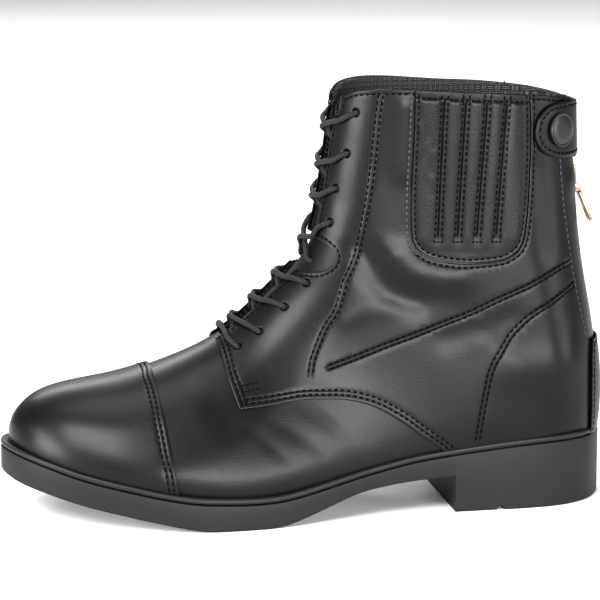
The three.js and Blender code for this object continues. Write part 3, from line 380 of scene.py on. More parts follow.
def off_middle(ts, halves, side, back=False):
    """Line a given distance off the crest, or off the back seam, at each row."""
    vs = np.linspace(1, 0.62, 200) if back else np.linspace(0, 0.6, 200)
    found = []
    for t, half in zip(ts, halves):
        tv = np.stack([np.full(200, t), vs * side], 1)
        y = place(tv)[:, 1]
        gap = np.abs(y if back else y - y[0])
        found.append((t, side * np.interp(half, gap, vs)))
    return np.array(found)


def inside(x, z, ring):
    """Whether side-view points lie in a closed outline."""
    hit = np.zeros(np.shape(x), bool)
    for (xa, za), (xb, zb) in zip(ring, np.roll(ring, -1, axis=0)):
        if za != zb:
            hit ^= ((za > z) != (zb > z)) & (x < (xb - xa) * (z - za) / (zb - za) + xa)
    return hit


knot_x = -LENGTH / 2 * np.cos(np.pi * np.arange(21) / 20)
shift = np.array(
    [
        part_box("outsole")[0].x * 1000 + LENGTH / 2,
        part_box("outsole")[0].y * 1000 - sole_edge(knot_x)[:, 0].min(),
        0.0,
    ]
)
print("working frame sits at", np.round(shift, 3))

# %% [markdown]
# ## Pattern lines
# The cutter's patterns: every edge and seam is a line on the side view, in (x, z). They are laid
# on the last by finding the surface place that a side-on ray meets. Both sides share them, since
# a boot's inner and outer patterns differ little.

# %% Outlines of the leather pieces
CAP_EDGE = [(-72.7, 84), (-72.7, 68.7), (-73.2, 64.7), (-72.1, 57.8), (-70.6, 48), (-68.9, 35.7),
            (-66.8, 22.6), (-65.4, 14)]
DERBY_FRONT = [(-42.6, 100), (-42.6, 84), (-42.4, 77.4), (-41.2, 69.2), (-38.9, 61.1),
               (-36.5, 53.2)]
DERBY_LOWER = [(-36.5, 53.2), (-22.4, 54.5), (-8.3, 56.3), (3.5, 56.2), (15.2, 55.2), (27, 51.7),
               (38.7, 45), (48.2, 37.9), (56, 32.3), (64, 26)]
COLLAR = [(-30, 186.2), (11.8, 186.2), (12.9, 189.4), (15.5, 193.6), (20.4, 197), (30.5, 198.6),
          (44.9, 198.4), (69.1, 196.6), (89, 195.5), (109.4, 193.6), (121, 191.4), (129.4, 188.9),
          (160, 185)]
NOTCH = [(-24, 124), (-8, 130.5), (1.5, 131), (5, 127.5), (8, 125.6), (10.2, 123.2), (10.9, 120),
         (9.4, 116.6), (5.6, 114), (1, 113), (-4, 112.8), (-9, 111.5), (-24, 108)]
PANEL = [(44.9, 215), (44.9, 197.6), (44.9, 178.2), (44.1, 151.8), (44.3, 133.8), (46.1, 125.8),
         (53.2, 120.2), (68.4, 117.4), (81.7, 117.6), (90.8, 119.8), (97.1, 127.4), (99.7, 150.5),
         (100.5, 176.7), (99.8, 195.3), (99.8, 215)]
SLITS = [[(59.2, 196), (57, 128.5)], [(69.4, 196), (66.1, 128.3)], [(79.6, 196), (75, 128.1)],
         [(88.7, 195), (84.1, 127.9)]]
TAB = [(101.5, 177.9), (103.4, 184), (108.4, 188.6), (116, 190.3), (122.8, 190.3), (150, 189.8),
       (150, 164.4), (122.8, 164.2), (117.3, 164.2), (110.6, 165.4), (105, 168.6), (102, 173.5)]
BACKSTAY = [(133, 23.8), (132.3, 39.6), (131.7, 55.4), (131.8, 67.3), (132.8, 77), (157, 77),
            (157, 23.8)]
SEAM_FRONT = [(30.5, 196.7), (29, 183.5), (27.1, 163.2), (24.1, 142.2), (19.8, 122.5),
              (14.4, 109.4), (10.6, 97.2), (4.5, 87.5), (-1.1, 74.7), (-2.7, 68.2)]
SEAM_ACROSS = [(5.8, 70.5), (19.3, 75), (32.6, 80), (46.1, 84.6), (59.6, 89.4), (73.1, 94.5),
               (86.1, 100.5), (98.1, 105.6), (110.5, 111.5), (119.8, 115.1)]
SEAM_HEEL = [(123.3, 105), (110.4, 97.9), (101.3, 92.6), (92.3, 84.3), (87.8, 77.5), (82, 66.9),
             (79.4, 55.3), (77.2, 42.7), (75.7, 32.4)]
SEAM_ZIP = [(115.8, 164.4), (117.6, 144.7), (121.3, 120.6), (123.1, 109.1), (126.4, 94),
            (129.9, 81.3)]
EYELETS = [(20.6, 187.3), (16.9, 168.3), (12.3, 151.8), (9.6, 136.0), (-1.8, 108.0), (-12.2, 96.9),
           (-24.2, 85.6), (-34.3, 78.7)]
# rows and half widths of the lace opening
THROAT = np.array([(9.8, 6.08), (10.5, 7.06), (12, 8.62), (14, 9.6), (18, 7.84), (22, 7.35),
                   (25, 9.8), (26.5, 11.56), (28, 11.56)])
THROAT_BASE = 10.3  # row where the lace opening starts in the inner wall
FACING_BASE = 9.8  # and in the quarters
ZIP_HALF, ZIP_LOW = 7.5, 79.2  # half width and low end of the zip's opening
TAPE_UNDER = 0.4  # how far the zip's tape reaches under the leather
HOLE_KEEP, HOLE_RADIUS = 1.97, 2.0
OVER_OUT = 1.4  # height of an overlay's outside over the last

collar_line = curve_through(COLLAR, 0.5)
cap_line = curve_through(CAP_EDGE, 0.5)
notch_ring = curve_through(NOTCH, 0.5)
PANEL_IN = [  # 0.5 mm smaller all round, for the dark line between panel and window
    (x - 0.5 * np.clip((x - 72.4) / 12, -1, 1), z + 0.5 * np.clip((132 - z) / 10, 0, 1))
    for x, z in PANEL
]
panel_ring = curve_through(PANEL, 0.5)
panel_in_ring = curve_through(PANEL_IN, 0.5)
quarter_ring = np.vstack(
    [
        curve_through(DERBY_FRONT, 0.5),
        curve_through(DERBY_LOWER, 0.5),
        [(286, 10), (286, 286), (-42.6, 286)],
    ]
)


def collar_height(x):
    return np.interp(x, collar_line[:, 0], collar_line[:, 1])


def below_collar(p):
    return p[:, 2] < collar_height(p[:, 0])


def off_crest(p, tv):
    crest = place(np.stack([tv[:, 0], np.zeros(len(tv))], 1))[:, 1]
    return np.abs(p[:, 1] - crest)


def in_throat(p, tv, start, extra=0.0):
    half = np.interp(tv[:, 0], THROAT[:, 0], THROAT[:, 1]) + extra
    front = np.abs(tv[:, 1]) < 0.6
    return front & (tv[:, 0] > start) & (off_crest(p, tv) < half)


def in_zip(p, half=ZIP_HALF, low=ZIP_LOW):
    return (p[:, 0] > 70) & (np.abs(p[:, 1]) < half) & (p[:, 2] > low)


def throat_edge(side, start, stop=28.0, extra=0.0):
    ts = np.linspace(start, stop, 160)
    halves = np.interp(ts, THROAT[:, 0], THROAT[:, 1]) + extra
    return even(off_middle(ts, halves, side), 0.8)


def collar_edge(side):
    vs = np.linspace(0.02, 1, 320) * side
    return even(meet(lambda x, y, z: z - collar_height(x), vs, 20, 28), 0.8)


def zip_edge(side, half, low):
    ts = np.linspace(21.2, 28, 160)
    line = off_middle(ts, np.full(160, half), side, back=True)
    line = line[place(line)[:, 2] > low]
    foot = meet(lambda x, y, z: z - low, np.linspace(line[0, 1], side, 20), 19.2, 25)
    return even(line, 0.8), even(foot, 0.8)


def hole_edge(x, z, side, radius=HOLE_RADIUS):
    centre = on_side([(x, z)], side)[0]
    normal = facing(centre)
    u = np.cross(normal, (0, 0, 1))
    u /= np.linalg.norm(u)
    w = np.cross(normal, u)
    a = np.linspace(0, 2 * np.pi, 25)[:-1, None]
    ring = nudge(np.repeat(centre[None], 24, 0), (np.cos(a) * u + np.sin(a) * w) * radius)
    return np.vstack([ring, ring[:1]])


def in_holes(p, side_centres):
    hit = np.zeros(len(p), bool)
    for centre in side_centres:
        hit |= np.linalg.norm(p - centre, axis=1) < HOLE_KEEP
    return hit


print("collar front height", round(float(collar_height(30.5)), 1))

# %% [markdown]
# ## Creases and seam furrows
# Stitched leather sinks along its threads and lifts between two rows, and worn-in leather folds
# at the ankle and flexes behind the cap. These are low forms, so each is a soft trough or ridge
# with its own line, width and depth, listed one by one and added along the surface's normal.

# %% Troughs and ridges, both sides alike
CREASES = [
    # line in the side view, half width, height
    ([(38, 121), (46, 114), (56, 111), (66, 110.5)], 7.0, 1.8),
    ([(23, 124), (29, 111), (37, 104), (47, 101)], 6.5, -1.5),
    ([(40.5, 190), (40.5, 176), (40, 160)], 4.5, 0.8),
    ([(36, 158), (33, 146), (30, 136)], 5.0, -0.4),
    ([(90, 66), (103, 67), (116, 68)], 11.0, 1.5),
    ([(14, 92), (24, 96), (36, 97)], 4.0, 0.35),
    ([(104, 160), (108, 140), (109, 122)], 5.0, -0.5),
    ([(60, 82), (75, 86), (92, 92)], 5.5, -0.5),
    ([(-20, 47), (-10, 41), (2, 33)], 3.0, -0.12),
    ([(-10, 50), (0, 43), (12, 35)], 3.2, 0.1),
    ([(2, 52), (12, 45), (24, 37)], 3.0, -0.09),
    ([(-34, 46), (-26, 40), (-16, 31)], 3.4, -0.15),
    ([(-52, 66), (-47, 58), (-41, 46)], 4.4, -0.18),
    ([(-60, 62), (-56, 52), (-50, 40)], 4.4, 0.14),
    ([(46, 191), (49, 182), (54, 172)], 1.4, -0.22),
    ([(46, 180), (49, 171), (54, 160)], 1.4, -0.2),
    ([(46, 168), (50, 158), (54, 150)], 1.4, -0.16),
]


def line_tree(lines):
    """Points along lines, ready for quick questions about the nearest one."""
    points = np.concatenate([place(even(line, 0.3)) for line in lines])
    tree = KDTree(len(points))
    for k, p in enumerate(points):
        tree.insert(p, k)
    tree.balance()
    return tree


def distances(tree, points):
    return np.array([tree.find(p)[2] for p in points]) if len(points) else np.zeros(0)


PAIR_HALF = 1.05  # half the gap between the two rows of a double seam


def swell(d, at=0.0, wide=0.45):
    """Profile of a ridge, or of a trough when taken off, at a distance from a line."""
    return np.exp(-(((d - at) / wide) ** 2))


def seam_pair(d):
    """Two furrows with a thin ridge between them."""
    return 0.24 * swell(d) - 0.27 * swell(d, PAIR_HALF, 0.4)


def seam_one(d):
    return -0.22 * swell(d, wide=0.5)


def both_ways(*distances):
    """Distances to both sides of a line."""
    return [d * s for d in distances for s in (1, -1)]


crease_lines = {
    side: [(side_line(p, side, 1.0), w, h) for p, w, h in CREASES] for side in (-1, 1)
}
crease_trees = {
    side: [(line_tree([p]), w, h) for p, w, h in crease_lines[side]] for side in (-1, 1)
}
crease_box = {
    side: [(place(p).min(0) - 3 * w, place(p).max(0) + 3 * w) for p, w, h in crease_lines[side]]
    for side in (-1, 1)
}


def crease_height(p, tv):
    """Sum of the broad folds at points of the last."""
    total = np.zeros(len(p))
    for side in (-1, 1):
        own = tv[:, 1] * side >= 0
        for (tree, wide, high), (low, top) in zip(crease_trees[side], crease_box[side]):
            near = np.nonzero(own & (p > low).all(1) & (p < top).all(1))[0]
            total[near] += high * swell(distances(tree, p[near]), wide=wide)
    return total


print(len(CREASES), "creases a side")

# %% [markdown]
# ## From a pattern to a sheet of leather
# A panel is cut flat and then pulled over the last. Here its outline and seams are laid in the
# (t, v) plane, filled with triangles that keep every line, and lifted to their place. The edge
# is rounded over, and a Solidify modifier gives the hide its thickness. Cutting with Boolean
# solids would also work, but leaves ragged shading along the edges.


# %% Sheet maker
def deselect():
    """Nothing selected, and object mode."""
    if bpy.context.object and bpy.context.object.mode != "OBJECT":
        bpy.ops.object.mode_set(mode="OBJECT")
    bpy.ops.object.select_all(action="DESELECT")


def pick(obj):
    deselect()
    obj.select_set(True)
    bpy.context.view_layer.objects.active = obj


def to_frame(points):
    """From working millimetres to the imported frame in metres."""
    return (np.asarray(points, float) + shift) / 1000


def new_mesh(name, points, faces):
    mesh = bpy.data.meshes.new(name)
    mesh.from_pydata(to_frame(points).tolist(), [], [list(map(int, f)) for f in faces])
    mesh.validate()
    obj = bpy.data.objects.new(name, mesh)
    bpy.context.scene.collection.objects.link(obj)
    return obj


def smooth(obj, degrees=38):
    pick(obj)
    bpy.ops.object.shade_smooth_by_angle(angle=math.radians(degrees))


def apply_modifier(obj, kind, **settings):
    pick(obj)
    modifier = obj.modifiers.new(kind.lower(), kind)
    for key, value in settings.items():
        setattr(modifier, key, value)
    bpy.ops.object.modifier_apply(modifier=modifier.name)


def clean(obj, gap=0.02):
    """Joins points that touch."""
    pick(obj)
    bpy.ops.object.mode_set(mode="EDIT")
    bpy.ops.mesh.select_all(action="SELECT")
    bpy.ops.mesh.remove_doubles(threshold=gap / 1000)
    bpy.ops.object.mode_set(mode="OBJECT")


@contextmanager
def editing(obj):
    """Edit mode on the active mesh, which is written back when the block ends."""
    bpy.ops.object.mode_set(mode="EDIT")
    yield bmesh.from_edit_mesh(obj.data)
    bmesh.update_edit_mesh(obj.data)
    bpy.ops.object.mode_set(mode="OBJECT")


def even_out(obj):
    """Turns inner edges so that neighbouring triangles meet at the flattest angle."""
    bm = bmesh.new()
    bm.from_mesh(obj.data)
    inner = [e for e in bm.edges if len(e.link_faces) == 2]
    bmesh.ops.beautify_fill(bm, faces=bm.faces[:], edges=inner, method="ANGLE")
    bm.to_mesh(obj.data)
    bm.free()


def net(t0, t1, v0, v1, step, columns):
    """Even rows and columns of places to fill a sheet with."""
    fine = np.linspace(t0, t1, 300)
    p = place(np.stack(np.meshgrid(fine, np.linspace(v0, v1, 9), indexing="ij"), -1))
    run = np.linalg.norm(np.diff(p, axis=0), axis=2)
    run = np.concatenate([[0], np.cumsum(np.percentile(run, 70, axis=1))])
    ts = np.interp(np.linspace(0, run[-1], int(run[-1] / step) + 2), run, fine)
    vs = np.linspace(v0, v1, columns + 1)
    return np.stack(np.meshgrid(ts, vs, indexing="ij"), -1).reshape(-1, 2)


T_FLAT, V_FLAT = 10, 120  # give t and v about the same scale while triangles are laid
EDGE_STEPS = (0.07, 0.2, 0.46)  # rows of points that round an edge over


def sheet(
    name, fill, edges, keep, lift, thick, seams=(), relief=None, round_edge=0.45, keep_off=0.6
):
    """A panel: fill points, edge lines, a rule for what is kept, its outer lift and thickness."""
    points, links = [], []

    def draw(line, closed=False):
        start = len(points)
        points.extend(line)
        links.extend((start + k, start + k + 1) for k in range(len(line) - 1))
        if closed:
            links.append((start + len(line) - 1, start))

    for line in edges:
        closed = np.allclose(line[0], line[-1])
        draw(line[:-1] if closed else line, closed)
    for line, offsets in seams:
        for d in offsets:
            draw(beside(line, d))
    rounding = [beside(line, d) for line in edges for d in both_ways(*EDGE_STEPS)]
    bands = [(line, 0.0) for line in edges]
    bands += [(line, max(map(abs, offsets))) for line, offsets in seams]
    free = fill
    for line, w in bands:
        tree = line_tree([line])
        low, top = place(line).min(0) - w - 2, place(line).max(0) + w + 2
        p = place(free)
        near = (p > low).all(1) & (p < top).all(1)
        far = np.ones(len(free), bool)
        far[near] = distances(tree, p[near]) > w + keep_off
        free = free[far]
    every = np.concatenate([np.array(points).reshape(-1, 2), free, *rounding])
    every[:, 0] = np.clip(every[:, 0], 0, LAST)
    every[:, 1] = np.clip(every[:, 1], -1, 1)
    flat = [Vector((a * T_FLAT, b * V_FLAT)) for a, b in every]
    made = delaunay_2d_cdt(flat, links, [], 0, 1e-5)
    tv = np.array([(p.x / T_FLAT, p.y / V_FLAT) for p in made[0]])
    faces = np.array([f for f in made[2] if len(f) == 3])
    p = place(tv)
    centre_tv = tv[faces].mean(1)
    faces = faces[keep(place(centre_tv), centre_tv)]
    used, faces = np.unique(faces, return_inverse=True)
    faces = faces.reshape(-1, 3)
    tv, p = tv[used], p[used]
    n = facing(tv)
    d = distances(line_tree(edges), p) if edges else np.full(len(p), 9.0)
    drop = np.where(d < round_edge, 1 - np.sqrt(np.clip(1 - (1 - d / round_edge) ** 2, 0, 1)), 0)
    height = lift - round_edge * drop + crease_height(p, tv)
    if relief is not None:
        height = height + relief(p, tv)
    p = p + n * height[:, None]
    a, b, c = (p[faces[:, k]] for k in range(3))
    wrong = (np.cross(b - a, c - a) * n[faces[:, 0]]).sum(1) < 0
    faces[wrong] = faces[wrong][:, ::-1]
    obj = new_mesh(name, p, faces)
    clean(obj)
    even_out(obj)
    if thick:
        apply_modifier(obj, "SOLIDIFY", thickness=thick / 1000, offset=-1)
    smooth(obj)
    print(name, len(obj.data.polygons), "faces")
    return obj


def seat(obj, *nodes, slot=None, body="boot"):
    """The piece rides on its body and stands for its CAD nodes, which are hidden; slot is not used.
    """
    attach(obj, body)
    if nodes:
        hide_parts(*nodes)


sides = (("lateral", -1), ("medial", 1))
hole_lines = {side: [hole_edge(x, z, side) for x, z in EYELETS] for _, side in sides}
hole_centres = {side: place(on_side(EYELETS, side)) for _, side in sides}

# %% [markdown]
# ## Vamp, shaft and lining
# The inner layer is one wall: smooth leather outside, woven lining inside. Its outside shows
# only between the toe cap and the quarters, so the points are closer there.


# %% Upper wall
def keep_upper(p, tv):
    out = in_throat(p, tv, THROAT_BASE) | in_zip(p) | inside(p[:, 0], p[:, 2], notch_ring)
    for side in (-1, 1):
        out |= in_holes(p, hole_centres[side])
    return below_collar(p) & ~out


base = np.stack([np.full(41, THROAT_BASE), np.linspace(-1, 1, 41)], 1)
throat_lines = [throat_edge(side, THROAT_BASE) for side in (-1, 1)]
base[:, 1] *= abs(throat_lines[0][0, 1])
notch_lines = {side: side_line(NOTCH[2:11], side, 0.7) for side in (-1, 1)}
notch_long = {side: side_line(NOTCH, side, 0.7) for side in (-1, 1)}
upper_edges = throat_lines + [base] + [collar_edge(side) for side in (-1, 1)]
for side in (-1, 1):
    upper_edges += list(zip_edge(side, ZIP_HALF, ZIP_LOW)) + [notch_long[side]] + hole_lines[side]
fill = np.vstack([net(0, 13.5, -1, 1, 1.5, 150), net(13.8, 28, -1, 1, 2.6, 90)])
upper = sheet("upper_wall", fill, upper_edges, keep_upper, 0.0, 1.9)
seat(upper, "upper", slot="upper")

# %% [markdown]
# ## Toe cap
# The cap is a second layer over the toes with a straight edge across the vamp. Its edge is a
# line that crosses the crest, found column by column, so that both sides meet there.


# %% Toe cap with its two rows of stitches
def cap_front(x, y, z):
    return x - np.interp(z, cap_line[::-1, 1], cap_line[::-1, 0])


def keep_cap(p, tv):
    return cap_front(p[:, 0], p[:, 1], p[:, 2]) < 0


def inward(line, distance, keep):
    """The line moved to the side that is kept."""
    moved = beside(line, distance)
    middle = moved[len(moved) // 2][None]
    return moved if keep(place(middle), middle)[0] else beside(line, -distance)


def edge_rows(tree, at, deep=0.2):
    def relief(p, tv):
        d = distances(tree, p)
        return sum(-deep * swell(d, a) for a in at)

    return relief


cap_edge = even(meet(cap_front, np.linspace(-1, 1, 500), 5, 10), 0.8)
cap_rows = (2.1, 4.2)
near_edge = both_ways(1.2, 1.7, 2.1, 2.6, 3.1, 3.7, 4.2, 4.8)
cap = sheet(
    "toe_cap_leather",
    net(0, 9.8, -1, 1, 1.5, 150),
    [cap_edge],
    keep_cap,
    OVER_OUT,
    1.1,
    seams=[(cap_edge, near_edge)],
    relief=edge_rows(line_tree([cap_edge]), cap_rows),
)
seat(cap, "toe_cap", slot="toe_cap")
LONG_STITCH, SHORT_STITCH = (3.0, 2.2), (2.9, 2.1)  # pitch and thread length
stitch_rows = {"cap": [(inward(cap_edge, d, keep_cap), OVER_OUT, *LONG_STITCH) for d in cap_rows]}

# %% [markdown]
# ## Quarters
# Each quarter wraps from the lace facing to the zip. It carries the lace holes, the notch at the
# ankle's bend, the window of the stretch panel and the three decorative seams, which sink into
# the leather in pairs.

# %% Quarters
# rows of points beside a seam, at which its furrows are drawn
PAIR_ROWS = both_ways(0.35, 0.7, 1.05, 1.45, 1.9) + [0.0]
DERBY_ROWS = both_ways(1.3, 1.8, 2.2, 2.7, 3.3, 3.9, 4.3, 4.9)
SINGLE_ROWS = both_ways(1.2, 1.7, 2.1, 2.6)
STRIP_ROWS = [-0.9, -0.45, 0, 0.45, 0.9]
quarters = {}
for name, side in sides:
    derby = np.vstack([side_line(DERBY_FRONT, side), side_line(DERBY_LOWER, side)[1:]])
    derby = even(derby[np.abs(derby[:, 1]) > 0.02], 0.8)
    window = side_line([p for p in PANEL if p[1] < 200], side, 0.8)
    facing_edge = throat_edge(side, FACING_BASE)

    def keep_quarter(p, tv, side=side):
        x, z = p[:, 0], p[:, 2]
        flat = inside(x, z, quarter_ring) & ~inside(x, z, panel_ring)
        out = in_throat(p, tv, FACING_BASE) | in_zip(p) | inside(x, z, notch_ring)
        return flat & below_collar(p) & ~out & ~in_holes(p, hole_centres[side])

    seams = {
        "front": side_line(SEAM_FRONT, side),
        "across": side_line(SEAM_ACROSS, side),
        "heel": side_line(SEAM_HEEL, side),
    }
    strip = side_line(SEAM_ZIP, side)
    pair_tree = line_tree(list(seams.values()))
    strip_tree = line_tree([strip])
    derby_tree, window_tree = line_tree([derby]), line_tree([window])
    collar = collar_edge(side)
    edge_tree = line_tree([facing_edge, notch_lines[side], collar])

    def relief(p, tv, a=pair_tree, b=strip_tree, c=derby_tree, d=window_tree, e=edge_tree):
        total = seam_pair(distances(a, p)) + seam_one(distances(b, p))
        away = distances(c, p)
        total -= 0.2 * swell(away, 2.2) + 0.2 * swell(away, 4.3)
        total -= 0.2 * swell(distances(d, p), 1.7)
        total -= 0.18 * swell(distances(e, p), 2.1)
        beside_slider = ((p[:, 0] - 124) / 5) ** 2, ((p[:, 2] - 152) / 6) ** 2
        total += 0.8 * np.exp(-beside_slider[0] - beside_slider[1]) * (p[:, 0] > 110)
        return total

    edges = [derby, window, facing_edge, collar, notch_lines[side]] + hole_lines[side]
    edges += list(zip_edge(side, ZIP_HALF, ZIP_LOW))
    v0, v1 = (-1, 0) if side < 0 else (0, 1)
    quarter = sheet(
        f"quarter_{name}_leather",
        net(9.6, 28, v0, v1, 1.45, 82),
        edges,
        keep_quarter,
        OVER_OUT,
        1.1,
        seams=[(s, PAIR_ROWS) for s in seams.values()]
        + [(strip, STRIP_ROWS), (derby, DERBY_ROWS)]
        + [(line, SINGLE_ROWS) for line in (window, facing_edge, notch_lines[side], collar)],
        relief=relief,
        keep_off=0.35,
    )
    quarters[name] = quarter
    seat(quarter, f"quarter_{name}", slot="quarter")

    group = []
    for line in seams.values():
        group += [(beside(line, d), OVER_OUT, *LONG_STITCH) for d in both_ways(PAIR_HALF)]
    group += [(inward(derby, d, keep_quarter), OVER_OUT, *LONG_STITCH) for d in (2.2, 4.3)]
    window_row = inward(window, 1.7, keep_quarter)
    # painted glint: a paler thread stands for light catching the stitches by the panel's front edge
    # and the zip
    pale = place(window_row)[:, 0] < 46.5
    group += [(window_row[~pale], OVER_OUT, *SHORT_STITCH)]
    worn = [(window_row[pale], OVER_OUT, *SHORT_STITCH), (strip, OVER_OUT, 3.0, 2.1)]
    group += [(inward(notch_lines[side], 2.1, keep_quarter), OVER_OUT, 2.7, 2.0)]
    for line in (facing_edge, collar):
        group += [(inward(line, 2.1, keep_quarter), OVER_OUT, *SHORT_STITCH)]
    tack = side_line([(-35.2, 61.6), (-25.6, 63.3)], side)
    group += [(beside(tack, d), OVER_OUT, 2.2, 1.8) for d in both_ways(1.5)]
    stitch_rows[f"quarter_{name}"] = [(*row, keep_quarter) for row in group]
    stitch_rows[f"worn_{name}"] = [(*row, keep_quarter) for row in worn]

# %% [markdown]
# ## Stretch panels
# Elastic under five stitched pleats lets the shaft open over the calf. Each slit between two
# pleats is a narrow trough, the pleats swell a little between them, and stitches run beside
# every slit, across the pleat tops and round the panel.

# %% Stretch panels
for name, side in sides:
    outline = side_line([p for p in PANEL_IN if p[1] < 200], side, 0.8)
    slits = [side_line([top, low], side) for top, low in SLITS]
    rim = collar_edge(side)

    def keep_panel(p, tv):
        return inside(p[:, 0], p[:, 2], panel_in_ring) & below_collar(p)

    slit_tree = line_tree(slits)
    both_tree = line_tree(slits + [outline])
    rim_tree = line_tree([rim])

    def relief(p, tv, a=slit_tree, b=both_tree, c=rim_tree):
        d, e, f = distances(a, p), distances(b, p), distances(c, p)
        down = ease((f - 3.2) / 2)
        total = -0.85 * swell(d, wide=0.55) * down * ease((p[:, 2] - 128.4) / 2.4)
        total += 0.5 * ease((e - 0.6) / 3.6) * down * ease((p[:, 2] - 121) / 9)
        total -= 0.18 * swell(e, 1.5) * down
        total -= 0.2 * swell(f, 3.6, 0.5)
        return total

    near = both_ways(0.3, 0.6, 0.95, 1.5, 2.0)
    rim_off = [-3, -3.6, -4.2, 3, 3.6, 4.2]
    v0, v1 = (-0.95, -0.2) if side < 0 else (0.2, 0.95)
    panel = sheet(
        f"stretch_panel_{name}_leather",
        net(17, 28, v0, v1, 1.25, 80),
        [outline, rim],
        keep_panel,
        OVER_OUT,
        1.1,
        seams=[(s, near + both_ways(2.7) + [0.0]) for s in slits]
        + [(outline, near), (rim, rim_off)],
        relief=relief,
        round_edge=0.4,
        keep_off=0.35,
    )
    seat(panel, f"stretch_panel_{name}", slot="stretch_panel")
    group = [(beside(s, d), OVER_OUT + 0.12, *SHORT_STITCH) for s in slits for d in both_ways(1.5)]
    group += [(inward(outline, 1.5, keep_panel), OVER_OUT, *SHORT_STITCH)]
    across_pleats = inward(rim, 3.6, lambda p, tv: p[:, 2] < collar_height(p[:, 0]))
    group += [(across_pleats, OVER_OUT, 2.6, 1.9)]
    for top, low in SLITS:
        bar = side_line([(low[0] - 2.6, low[1] - 0.6), (low[0] + 2.6, low[1] - 0.6)], side)
        group += [(bar, OVER_OUT + 0.2, 1.7, 1.3)]
    stitch_rows[f"panel_{name}"] = [(*row, keep_panel) for row in group]

# %% [markdown]
# ## Backstay, snap tab, tongue and zip tape
# These strips lie on or under the shaft at its front and back. The two at the back cross the
# back seam, where the surface's two ends meet, so their touching points are joined.

# %% Strips
stay_ring = np.array(BACKSTAY)
stay_line = {side: side_line(BACKSTAY[:5], side) for side in (-1, 1)}
STAY_HIGH, STAY_OUT, TAB_OUT = 77, 2.9, 3.4  # backstay's top, and how far the strips stand out
stay_top = [
    even(meet(lambda x, y, z: z - STAY_HIGH, np.linspace(0.72, 1, 60) * s, 19.2, 26), 0.8)
    for s in (-1, 1)
]
stay_top = [line[place(line)[:, 0] > 132.6] for line in stay_top]


def keep_stay(p, tv):
    return inside(p[:, 0], p[:, 2], stay_ring) & (np.abs(tv[:, 1]) > 0.6)


stay_edges = [stay_line[-1], stay_line[1]] + stay_top
stay_fill = net(16, 24, -1, 1, 1.4, 200)
stay = sheet(
    "backstay_leather",
    stay_fill[np.abs(stay_fill[:, 1]) > 0.55],
    stay_edges,
    keep_stay,
    STAY_OUT,
    1.2,
    seams=[(line, SINGLE_ROWS) for line in stay_edges],
    relief=edge_rows(line_tree(stay_edges), (2.1,)),
)
seat(stay, "backstay", slot="backstay")
stitch_rows["backstay"] = [
    (inward(line, 2.1, keep_stay), STAY_OUT, *SHORT_STITCH, keep_stay) for line in stay_edges
]

# the tab's inner end is square with small corners, its outer end is the rounded one
TAB_INNER = [(106.5, 164.4), (105.2, 166), (105.2, 188.6), (106.5, 190.2)]
tab_rings = {
    -1: curve_through(TAB + TAB[:1], 0.5),
    1: np.array(TAB_INNER + [(150, 189.8), (150, 164.4)]),
}


def level_line(z_at, side):
    line = meet(lambda x, y, z: z - z_at(x), np.linspace(0.7, 1, 80) * side, 21, 28)
    line = even(line, 0.8)
    return line[place(line)[:, 0] > 118]


def tab_top(x):
    return np.minimum(190.3 - 0.02 * (x - 122.8), collar_height(x) - 0.2)


def tab_low(x):
    return 164.2 + 0.0074 * (x - 122.8)


def keep_tab(p, tv):
    outer, inner = (inside(p[:, 0], p[:, 2], tab_rings[side]) for side in (-1, 1))
    front = np.where(tv[:, 1] < 0, outer, inner)
    return front & (p[:, 2] < tab_top(p[:, 0])) & (np.abs(tv[:, 1]) > 0.45)


def front_part(line):
    return line[place(line)[:, 0] < 118.8]


outer_tab = side_line(TAB[:5], -1), side_line(TAB[7:] + TAB[:1], -1)
tab_edges = [front_part(outer_tab[0]), front_part(outer_tab[1])]
tab_edges += [side_line([(119, 164.3), *TAB_INNER, (119, 190.3)], 1)]
tab_edges += [level_line(rule, side) for rule in (tab_top, tab_low) for side in (-1, 1)]
tab_fill = net(23.5, 28, -1, 1, 1.3, 220)
tab = sheet(
    "snap_tab_leather",
    tab_fill[np.abs(tab_fill[:, 1]) > 0.5],
    tab_edges,
    keep_tab,
    TAB_OUT,
    1.7,
    seams=[(line, SINGLE_ROWS) for line in tab_edges],
    relief=edge_rows(line_tree(tab_edges), (2.1,)),
    round_edge=0.8,
)
seat(tab, "snap_tab", slot="snap_tab")
stitch_rows["tab"] = [
    (inward(line, 2.1, keep_tab), TAB_OUT, 2.8, 2.0, keep_tab) for line in tab_edges
]


TONGUE_LOW, TONGUE_HIGH = 9.4, 24.45  # rows of its two ends
TONGUE_UNDER = 12.74  # how far it reaches under each facing


def keep_tongue(p, tv):
    return in_throat(p, tv, TONGUE_LOW, TONGUE_UNDER) & (tv[:, 0] < TONGUE_HIGH)


tongue_ends = []
for row in (TONGUE_LOW, TONGUE_HIGH):
    gap = np.interp(row, THROAT[:, 0], THROAT[:, 1])
    half = abs(off_middle([row], [gap + TONGUE_UNDER], 1)[0, 1])
    tongue_ends.append(np.stack([np.full(40, row), np.linspace(-half, half, 40)], 1))
tongue_edges = [throat_edge(s, TONGUE_LOW, TONGUE_HIGH, TONGUE_UNDER) for s in (-1, 1)]
tongue_edges += tongue_ends
tongue_fill = net(9.2, 24.6, -0.6, 0.6, 1.8, 60)
tongue = sheet("tongue_leather", tongue_fill, tongue_edges, keep_tongue, -2.2, 1.8)
seat(tongue, "tongue", slot="tongue")


def keep_tape(p, tv):
    return in_zip(p, ZIP_HALF + TAPE_UNDER, ZIP_LOW - TAPE_UNDER) & below_collar(p)


